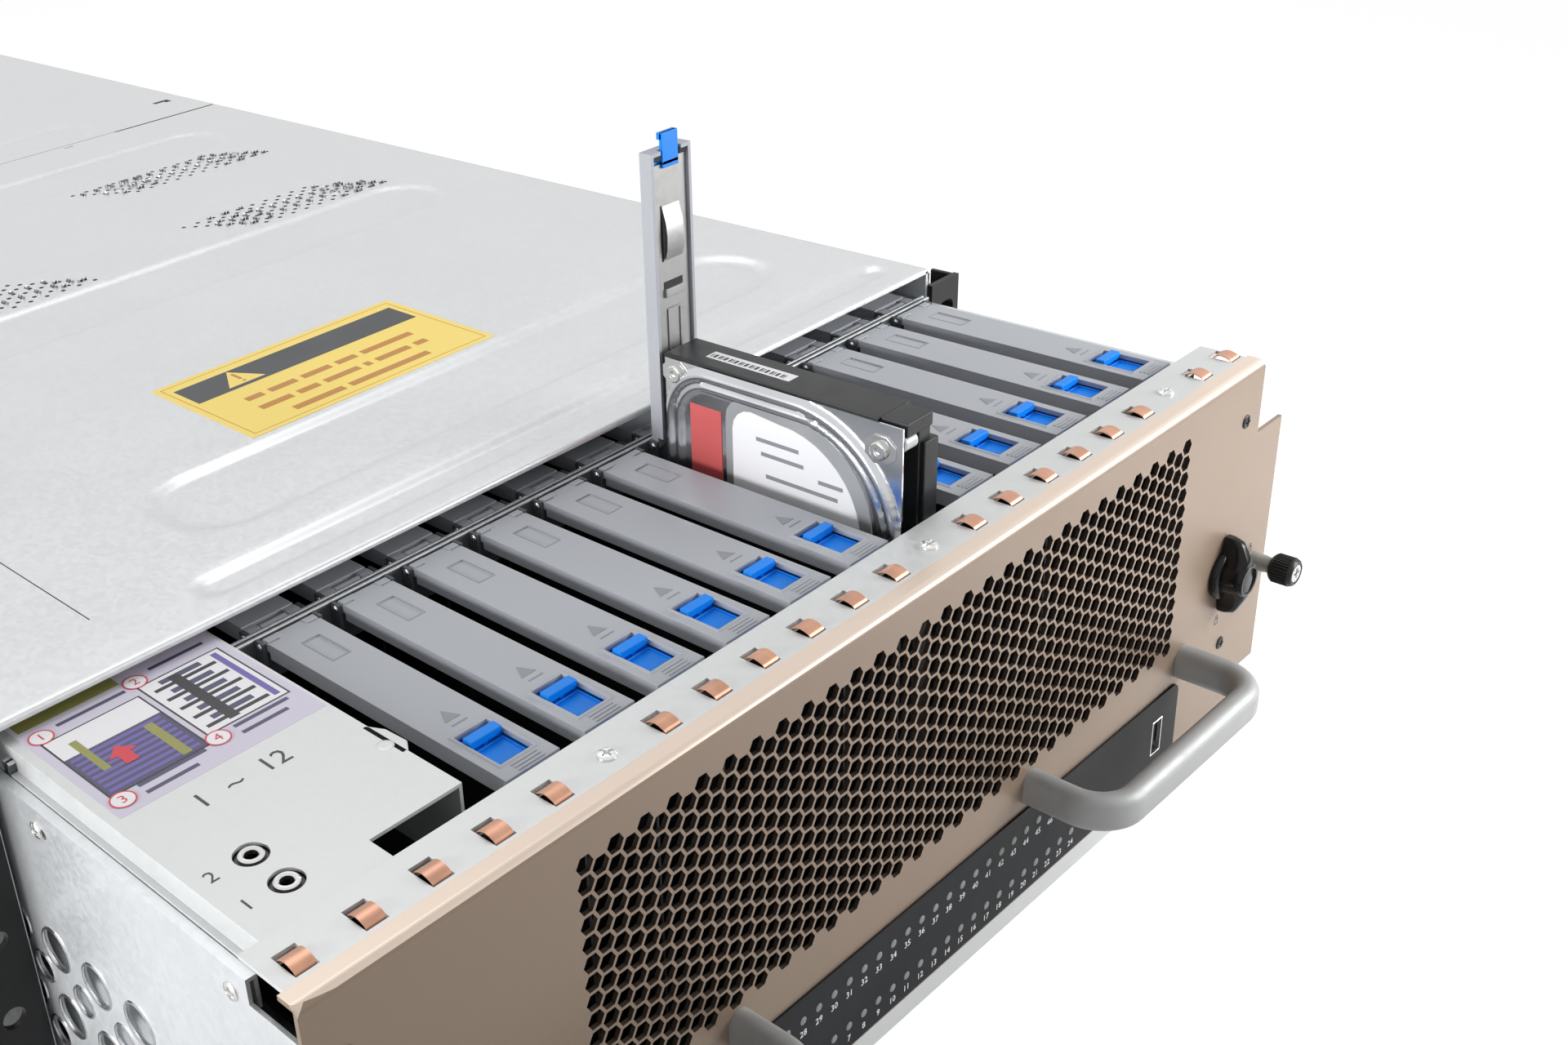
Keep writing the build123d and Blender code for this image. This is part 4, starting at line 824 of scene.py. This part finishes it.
printed("lilac", -210.5, -143.0, 90.5, 172.0, 0.5)
printed("ink", -207.6, -175.6, 100.0, 136.6, 1.5)
printed("slate", -207.0, -176.2, 100.6, 136.0, 2.5)
printed("white", -207.0, -176.2, 124.5, 136.0, 3.0)
for row in range(8):
    printed("violet", -206.0, -177.4, 102.2 + row * 2.8, 103.7 + row * 2.8, 3.5)
printed("olive", -183.5, -180.5, 101.5, 122.0, 4.5)
printed("olive", -202.0, -199.6, 112.0, 131.0, 4.5)
printed("ink", -174.0, -145.5, 104.0, 140.6, 1.5)
printed("white", -173.4, -146.1, 104.6, 140.0, 2.5)
for row in range(5):
    printed("ink", -171.5, -150.5, 107.0 + row * 6.6, 108.6 + row * 6.6, 3.5)
    printed("slate", -168.0, -154.0, 109.6 + row * 6.6, 112.0 + row * 6.6, 3.5)
printed("ink", -165.0, -161.5, 106.0, 138.0, 4.5)
printed("violet", -149.6, -147.6, 106.0, 138.6, 3.5)
arrow = [(-196.0, 110.0), (-192.0, 110.0), (-192.0, 115.0), (-189.5, 115.0), (-194.0, 120.0), (-198.5, 115.0),
         (-196.0, 115.0)]
layers["red"].prism([(x, face + y) for x, y in arrow], "z", jack_top + 0.18, jack_top + 0.21)
ring = [(jack_top + z, radius) for radius, z in ((3.3, 0.2), (3.3, 0.25), (3.75, 0.25), (3.75, 0.2))]
for x, y, number in ((-205.5, 139.6, "1"), (-172.5, 143.4, "2"), (-205.5, 97.0, "3"), (-172.5, 101.0, "4")):
    layers["white"].lathe([(jack_top + 0.19, 3.6), (jack_top + 0.22, 3.6)], "z", x, face + y)
    layers["red"].lathe(ring, "z", x, face + y, caps=False)
    layers["red"].words(number, 5.0, Matrix.Translation((x, face + y, jack_top + 0.24)), depth=0.01)
for x0, x1, y in ((-199.5, -177.0, 140.9), (-166.0, -147.0, 145.6), (-199.5, -178.0, 98.4),
                  (-199.5, -183.0, 94.2), (-166.5, -148.0, 101.4), (-166.5, -151.0, 97.2)):
    printed("slate", x0, x1, y, y + 1.5, 2.5)
printed("olive", -209.0, -176.0, 146.2, 168.0, 1.5)
printed("slate", -175.0, -145.0, 152.0, 168.0, 1.5)
for name, material in inks.items():
    layers[name].place(f"sheet_{name}", material, "drawer", "drawer_steel")

# Hinge carriers and their pins: pressed strips with lugs, darker as painted shade, with painted highlights
# along their top edges, and bright pins.
# The pins' domed ends shine in the lugs beside each lid.
bays, opened_bay, first_bay_x, bay_pitch, pair_pitch = 12, 7, -121.0, 29.25, 231.2
pin_y, pin_z, carrier_middle, wall_inside = 138.6, 164.3, 142.8, 216.0
Made("crossbars").place("hinge_carriers", carrier_shade_steel, "drawer", "drawer_steel", "crossbars", bevel=0.12,
                        parts=1)
# Painted highlights: pale zinc strips along the carriers' top edges.
carrier_edges = Made()
for pair in range(2):
    for near, far in ((140.9, 142.15), (143.5, 144.7)):
        shift = face + pair * pair_pitch
        carrier_edges.block(-wall_inside, wall_inside, near + shift, far + shift, 165.4, 166.2)
carrier_edges.place("carrier_edges", zinc_wall, "drawer", "drawer_steel", bevel=0.25, parts=2)
paint(bright_steel, "hinge_pins")
pin_ends = []
for pair in range(2):
    for mirror_y in (pin_y, 2 * carrier_middle - pin_y):
        for edge in (-1, 1):
            dome = Made().lathe([(0.0, 1.25), (edge * 0.3, 1.15), (edge * 0.55, 0.8), (edge * 0.65, 0.3)],
                                "x", 0, 0, steps=12).loose("dome", bright_steel)
            pin_ends.append(repeated(f"ends_{pair}_{mirror_y}_{edge}", dome, bright_steel, bays,
                                     start=(first_bay_x + edge * 11.4, face + mirror_y + pair * pair_pitch,
                                            pin_z),
                                     column_step=(bay_pitch, 0, 0)))
carried(joined("pin_ends", *pin_ends), "drawer", "pin_steel")
divider_dark = finish("dark divider sheet", tint(58, 60, 64), 0.35, metal=0.5, tone=0.1, tone_size=20.0)
board_green = finish("green circuit board", tint(28, 72, 48), 0.4, tone=0.12, tone_size=5.0, grain=0.03,
                     grain_size=0.8)
paint(divider_dark, "bay_dividers")
paint(board_green, "backplane", "mainboard")

# Bay lids: grey mouldings with rounded edges, each on a hinge pin at its rear.
# A framed window takes the latch; a field, an arrow and grip lines are moulded in the top.
lid_grey = finish("grey lid moulding", tint(172, 175, 181), 0.42, tone=0.015, tone_size=30.0, grain=0.01,
                  grain_size=0.18)
lid_mark = finish("shaded lid moulding", tint(140, 143, 150), 0.42, tone=0.02, tone_size=30.0)
lid_top = 166.0


def bay_turn(bay, opened=False):
    """Where a lid that was made about x = 0 stands."""
    seat = Matrix.Translation((first_bay_x + bay_pitch * (bay - 1), face, 0))
    if not opened:
        return seat
    hinge = Matrix.Translation((0, pin_y, pin_z))
    return seat @ hinge @ Matrix.Rotation(-math.pi / 2, 4, "X") @ hinge.inverted()


def in_every_bay(shape, name, body, slot, stands_in=True, sharp=38):
    """A loose shape made about x = 0, copied to all bays. The shape itself is used up."""
    for bay in range(1, bays + 1):
        piece = thing(f"{name}_{bay:02d}", shape.data.copy())
        turn = bay_turn(bay, bay == opened_bay)
        turn.translation *= MM
        piece.data.transform(turn)
        shaded(piece, sharp)
        node = f"{body}_{bay:02d}"
        carried(piece, node, slot, *([node] if stands_in else []))
    bpy.data.objects.remove(shape)


lid = Made("cover_01")
lid.mesh.transform(bay_turn(1).inverted())
lid_shape = lid.loose("lid", lid_grey)
cut(lid_shape, Made().block(-2.7, 3.5, 113.0, 128.0, lid_top - 0.35, lid_top + 1).loose("cutter", lid_grey))
rounded(lid_shape, 0.45, 3, 40)
features = Made()
features.border("z", lid_top - 0.1, lid_top + 0.35, -7.4, 7.4, 35.6, 57.0, 1.35, slope=0.7)
features.block(-5.6, 5.6, 134.4, 139.4, lid_top - 2.4, lid_top - 0.05)
features.block(-9.6, -3.6, 136.4, 139.2, lid_top - 0.5, lid_top + 0.2)
features.block(5.0, 9.6, 136.4, 139.2, lid_top - 0.5, lid_top + 0.2)
features_shape = features.loose("features", lid_grey, bevel=0.12, parts=2)
lid_marks = Made().prism([(-2.6, 62.9), (3.0, 62.9), (0.4, 68.4)], "z", lid_top - 0.1, lid_top + 0.12)
lid_marks.block(-2.3, 3.2, 60.1, 60.7, lid_top - 0.1, lid_top + 0.12)
lid_marks.border("z", lid_top - 0.1, lid_top + 0.08, -3.1, 3.9, 112.6, 128.4, 0.4)
lid_marks = lid_marks.loose("lid_marks", lid_mark)
rib = Made().block(-4.7, 4.7, -0.3, 0.3, -0.1, 0.35).loose("rib", lid_grey, bevel=0.08, parts=1)
ribs = repeated("ribs", rib, lid_grey, 3, start=(0.5, 31.9, lid_top), column_step=(0, 1.5, 0))
lid_shape = joined("lid", lid_shape, features_shape, ribs, lid_marks)
in_every_bay(lid_shape, "lid", "cover", "lid_plastic")
Made("rear_covers").place("covered_lids", lid_grey, "drawer", "lid_plastic", "rear_covers", bevel=0.3, parts=1)
knuckles = Made().lathe([(-5.0, 1.65), (5.0, 1.65)], "x", 2 * carrier_middle - pin_y, pin_z, steps=16)
knuckles.block(-9.9, -5.6, 145.4, 149.0, 163.4, 165.9)
knuckles.block(5.6, 9.9, 145.4, 149.0, 163.4, 165.9)
knuckles = knuckles.loose("knuckles", lid_grey, bevel=0.2)
carried(repeated("rear_knuckles", knuckles, lid_grey, bays, start=(first_bay_x, face, 0),
                 column_step=(bay_pitch, 0, 0)), "drawer", "lid_plastic")

# Latches: bright blue mouldings that slide under the lid's window, with a grip bar on three short posts.
# A flat plate shows in front of the bar, and the tongue reaches under the flange.
latch_blue = finish("bright blue moulding", tint(0, 134, 240), 0.4, tone=0.03, tone_size=10.0, grain=0.008,
                    grain_size=0.2, shine=0.3)
latch = Made()
plate_top = lid_top - 2.2
latch.block(-7.0, 7.0, 34.5, 56.5, plate_top - 1.2, plate_top)
latch.block(-5.7, 5.7, 48.8, 52.4, plate_top + 1.15, lid_top + 1.5)
for x0, x1 in ((-5.7, -4.3), (-0.9, 0.9), (4.3, 5.7)):
    latch.block(x0, x1, 49.4, 52.2, plate_top - 0.2, plate_top + 1.3)
latch.border("z", plate_top - 0.2, plate_top + 0.5, -5.7, 5.7, 37.3, 48.9, 0.7, slope=0.1)
latch.block(-4.0, 4.0, 24.9, 27.4, 160.9, 163.4)
latch.block(-4.0, 4.0, 24.9, 37.0, 160.8, 162.2)
latch.block(-4.0, 4.0, 34.5, 36.0, 160.8, plate_top)
latch_shape = latch.loose("latch", latch_blue, bevel=0.28)
in_every_bay(latch_shape, "slide_latch", "latch", "latch_blue")

# Sole of each lid: a zinc-coated plate snapped into its underside, with a leaf spring that holds the drive.
# It shows on the open lid: a notched end round the latch, a lanced tab and a pressed channel.
sole_steel = finish("sole steel", tint(164, 164, 163), 0.38, metal=0.45, tone=0.03, tone_size=20.0,
                    flake_size=1.7)
sole_gap = 162.2
outline = [(-8.3, 128.0), (-8.3, 35.6), (-3.9, 35.6), (-3.9, 34.0), (-0.4, 34.0), (-0.4, 35.9), (2.6, 35.9),
           (2.6, 34.2), (8.0, 34.2), (8.3, 36.0), (8.3, 128.0)]
sole = Made().prism(outline, "z", sole_gap - 0.4, sole_gap)
sole.border("z", sole_gap - 0.9, sole_gap - 0.3, -3.6, 3.4, 87.5, 126.0, 0.8, slope=0.35)
bow = [(50.0, 0.1), (52.0, -0.4), (56.0, -1.6), (61.0, -2.2), (66.0, -1.9), (69.5, -0.8)]
leaf = [(y, sole_gap - 0.4 + z) for y, z in bow] + [(y, sole_gap - 0.1 + z) for y, z in reversed(bow)]
sole.prism(leaf, "x", -4.2, 4.4)
sole.block(-4.6, 4.6, 80.0, 83.2, sole_gap - 1.5, sole_gap - 0.35)
in_every_bay(sole.loose("sole", sole_steel, bevel=0.1, parts=1, sharp=50), "sole", "cover", "drawer_steel",
             stands_in=False, sharp=50)
dark = Made().block(-5.2, -4.2, 50.0, 70.0, sole_gap - 0.45, sole_gap - 0.3)
dark.block(-4.8, 4.8, 77.5, 80.0, sole_gap - 0.5, sole_gap - 0.3)
for x0, x1 in ((-8.3, -5.0), (4.6, 8.2)):
    dark.block(x0, x1, 31.6, 33.9, 160.9, 161.3)
in_every_bay(dark.loose("sole_shade", shadow_black), "sole_shade", "cover", "lid_plastic", stands_in=False,
             sharp=35)

# Drive: a black casting with a pressed steel lid on its left face, set in by screws at its corners.
# A double bead runs round the lid, and paper labels with plain bars lie inside it and on the top edge.
y_front, y_rear, z_low, z_high = face + 30.7, face + 132.3, 55.1, 202.1
x_lid, x_right = 43.4, 61.2
cast_black = finish("black casting", tint(34, 35, 37), 0.40, metal=0.4, tone=0.12, tone_size=8.0, grain=0.03,
                    grain_size=0.4)
pressed_steel = finish("bright drive lid", tint(206, 208, 211), 0.2, metal=0.95, tone=0.03, tone_size=20.0,
                       grain=0.002, grain_size=0.5)
cast = Made().block(x_lid + 0.6, x_right, y_front + 11.0, y_rear, z_low, z_high)
cast.block(x_right - 7.5, x_right, y_front, y_front + 11.5, z_low, z_high - 9.0)
cast.block(x_lid + 2.0, x_right - 2.0, y_front + 1.0, y_front + 11.5, z_high - 5.0, z_high)
cast.block(x_lid + 9.0, x_right - 2.5, y_front + 1.5, y_front + 11.5, z_low, z_high - 4.5)
casting = cast.loose("drive_casting", cast_black, bevel=0.6, parts=2)
plug_y = (y_front + y_rear) / 2
cut(casting, Made().block(x_right - 11.9, x_right - 6.1, plug_y - 21.4, plug_y + 21.4, z_low - 1, z_low + 5.5)
    .loose("cutter", cast_black))
carried(casting, "drive", "drive_metal", "drive")


def bead_height(y, z):
    """How far the pressed lid stands out to the left at a point of its face."""
    a, b = y - (y_front + y_rear) / 2, z - (z_high + z_low) / 2 - 2.0
    half_a, half_b = 49.6, 70.0
    radius = (42.0 if b > 0 else 10.0) if a < 0 else (20.0 if b > 0 else 10.0)
    qa, qb = abs(a) - half_a + radius, abs(b) - half_b + radius
    inside = radius - (math.hypot(max(qa, 0), max(qb, 0)) + min(max(qa, qb), 0))
    if inside < 0:
        return 0.0
    beads = max(0.0, 1 - ((inside - 2.2) / 2.2) ** 2) ** 0.5 * 1.9 if inside < 4.4 else 0.0
    beads += max(0.0, 1 - ((inside - 6.2) / 1.9) ** 2) ** 0.5 * 1.5 if 4.3 < inside < 8.1 else 0.0
    return max(beads, 0.5 if inside > 8.0 else 0.0)


face_grid = bmesh.new()
columns, rows = 96, 132
points = []
for j in range(rows + 1):
    z = z_low + 14.0 + (z_high - 1.0 - z_low - 14.0) * j / rows
    line = []
    for i in range(columns + 1):
        y = y_front + 1.2 + (y_rear - y_front - 2.4) * i / columns
        line.append(face_grid.verts.new((x_lid - bead_height(y, z), y, z)))
    points.append(line)
for j in range(rows):
    for i in range(columns):
        face_grid.faces.new((points[j][i], points[j + 1][i], points[j + 1][i + 1], points[j][i + 1]))
lid_piece = sheet_metal("drive_lid", face_grid, 0.7, 60, pressed_steel)
carried(lid_piece, "drive", "drive_metal")
corner_pads = Made()
for y, z in ((face + 40.1, 191.9), (face + 125.9, 197.2 - 1.0)):
    octagon = [(y + 6.4 * math.cos(math.pi * (k + 0.5) / 4), z + 5.4 * math.sin(math.pi * (k + 0.5) / 4))
               for k in range(8)]
    corner_pads.prism(octagon, "x", x_lid - 0.6, x_lid + 0.4)
    corner_pads.lathe([(x_lid - 0.5, 3.3), (x_lid - 1.7, 3.2), (x_lid - 2.1, 2.7), (x_lid - 2.1, 1.3),
                       (x_lid - 1.3, 1.2)], "x", y, z, steps=28)
corner_pads.place("drive_lid_screws", plated, "drive", "drive_metal", bevel=0.15, parts=2)
slots = Made()
for y, z, lean in ((face + 46.0, 183.0, 1.0), (face + 120.0, 189.5, -1.0)):
    long_way, short_way = Vector((0.62 * lean, 0.79)), Vector((0.79, -0.62 * lean))
    outline = [Vector((y, z)) + long_way * 6.0 * a + short_way * 0.8 * b
               for a, b in ((-1, -1), (1, -1), (1, 1), (-1, 1))]
    slots.prism([tuple(p) for p in outline], "x", x_lid - 0.62, x_lid - 0.3)
slots.place("drive_lid_slots", shadow_black, "drive", "drive_metal")
bumper_white = finish("cloudy white rubber", tint(186, 190, 192), 0.35, tone=0.05, tone_size=5.0)
bumpers = Made()
for y, z in ((y_front + 3.2, z_high - 7.0), (y_rear - 4.2, z_high - 4.0)):
    bumpers.lathe([(x_lid + 1.0, 2.4), (x_lid + 1.4, 2.8), (x_lid + 7.0, 2.8), (x_lid + 7.4, 2.3)], "x", y, z)
bumpers.place("drive_bumpers", bumper_white, "drive", "drive_metal")
label_rim = finish("satin label rim", tint(176, 178, 180), 0.4, metal=0.6, tone=0.03)
label_left, label_right, label_top, label_low = face + 103.5, face + 42.5, 190.0, 80.0


def label_outline(inset):
    """The drive's large label: straight sides, with its upper front corner cut by a long curve."""
    y0, y1, z0, z1 = label_right + inset, label_left - inset, label_low + inset, label_top + 4.0 - inset
    arc = [(y0 + 34 - (34 - inset * 0.4) * math.sin(math.pi * k / 20), z1 - 34 + (34 - inset * 0.4)
            * math.cos(math.pi * k / 20)) for k in range(11)]
    rear = [(y1 - 8 + 8 * math.sin(math.pi * k / 8), z1 - 8 + 8 * math.cos(math.pi * k / 8)) for k in range(5)]
    return [(y0, z0)] + arc[::-1] + rear + [(y1, z0)]


Made().prism(label_outline(0.0), "x", x_lid - 0.85, x_lid - 0.4).place("drive_label_rim", label_rim, "drive",
                                                                    "drive_metal", bevel=0.1, parts=1)
Made().prism(label_outline(3.2), "x", x_lid - 0.95, x_lid - 0.8).place("drive_label", paper_white, "drive",
                                                                    "drive_metal")
red_film = finish("red film", tint(206, 92, 92), 0.5, tone=0.03, tone_size=20.0)
Made().block(x_lid - 0.75, x_lid - 0.5, face + 105.5, face + 119.5, 95.0, 187.0).place(
    "drive_sticker", red_film, "drive", "drive_metal")
print_grey = finish("grey print", tint(140, 142, 148), 0.5, tone=0.03)
bars = Made()
for y0, y1, z in ((72, 90, 181.0), (70, 88, 176.0), (54, 64, 172.5), (56, 86, 168.0), (50, 88, 158.0),
                  (52, 70, 153.0), (52, 84, 146.0), (56, 80, 140.0)):
    bars.block(x_lid - 0.97, x_lid - 0.93, face + y0, face + y1, z, z + 1.5)
bars.place("drive_label_bars", print_grey, "drive", "drive_metal")
Made().block(x_lid + 6.5, x_right - 6.0, face + 82.0, face + 118.0, z_high, z_high + 0.12).place(
    "drive_top_label", paper_white, "drive", "drive_metal")
stripes = Made()
spot_y = face + 85.0
for index in range(22):
    wide = 0.45 + 0.35 * (index * 7 % 3)
    stripes.block(x_lid + 7.5, x_lid + 10.0, spot_y, spot_y + wide, z_high + 0.1, z_high + 0.15)
    spot_y += wide + 0.4 + 0.3 * (index * 5 % 3)
stripes.place("drive_top_stripes", inks["ink"], "drive", "drive_metal")
hole_rim = Made().donut("x", x_right, face + 38.0, z_high - 19.0, 2.3, 0.45)
hole_rim.place("drive_side_hole_rim", plated, "drive", "drive_metal")
Made().lathe([(x_right - 0.1, 2.1), (x_right + 0.06, 2.1)], "x", face + 38.0, z_high - 19.0).place(
    "drive_side_hole", shadow_black, "drive", "drive_metal")

# Rear half: fans of black plastic, a circuit board and two supplies in their cage.
# They show from behind, through the vents, and when the supplies are drawn out.
fan_plastic = finish("black fan plastic", tint(30, 31, 33), 0.38, tone=0.08, tone_size=15.0, grain=0.02,
                     grain_size=0.5)
supply_case = finish("supply case zinc", tint(176, 179, 182), 0.34, metal=0.8, tone=0.06, tone_size=12.0,
                     flake_size=3.0)
Made("fan_frames").place("fan_housings", fan_plastic, "chassis", "fan_black", "fan_frames", bevel=0.4)
paint(fan_plastic, "fan_rotor_1", "fan_rotor_2", "fan_rotor_3")
paint(supply_case, "power_supply_1", "power_supply_2")
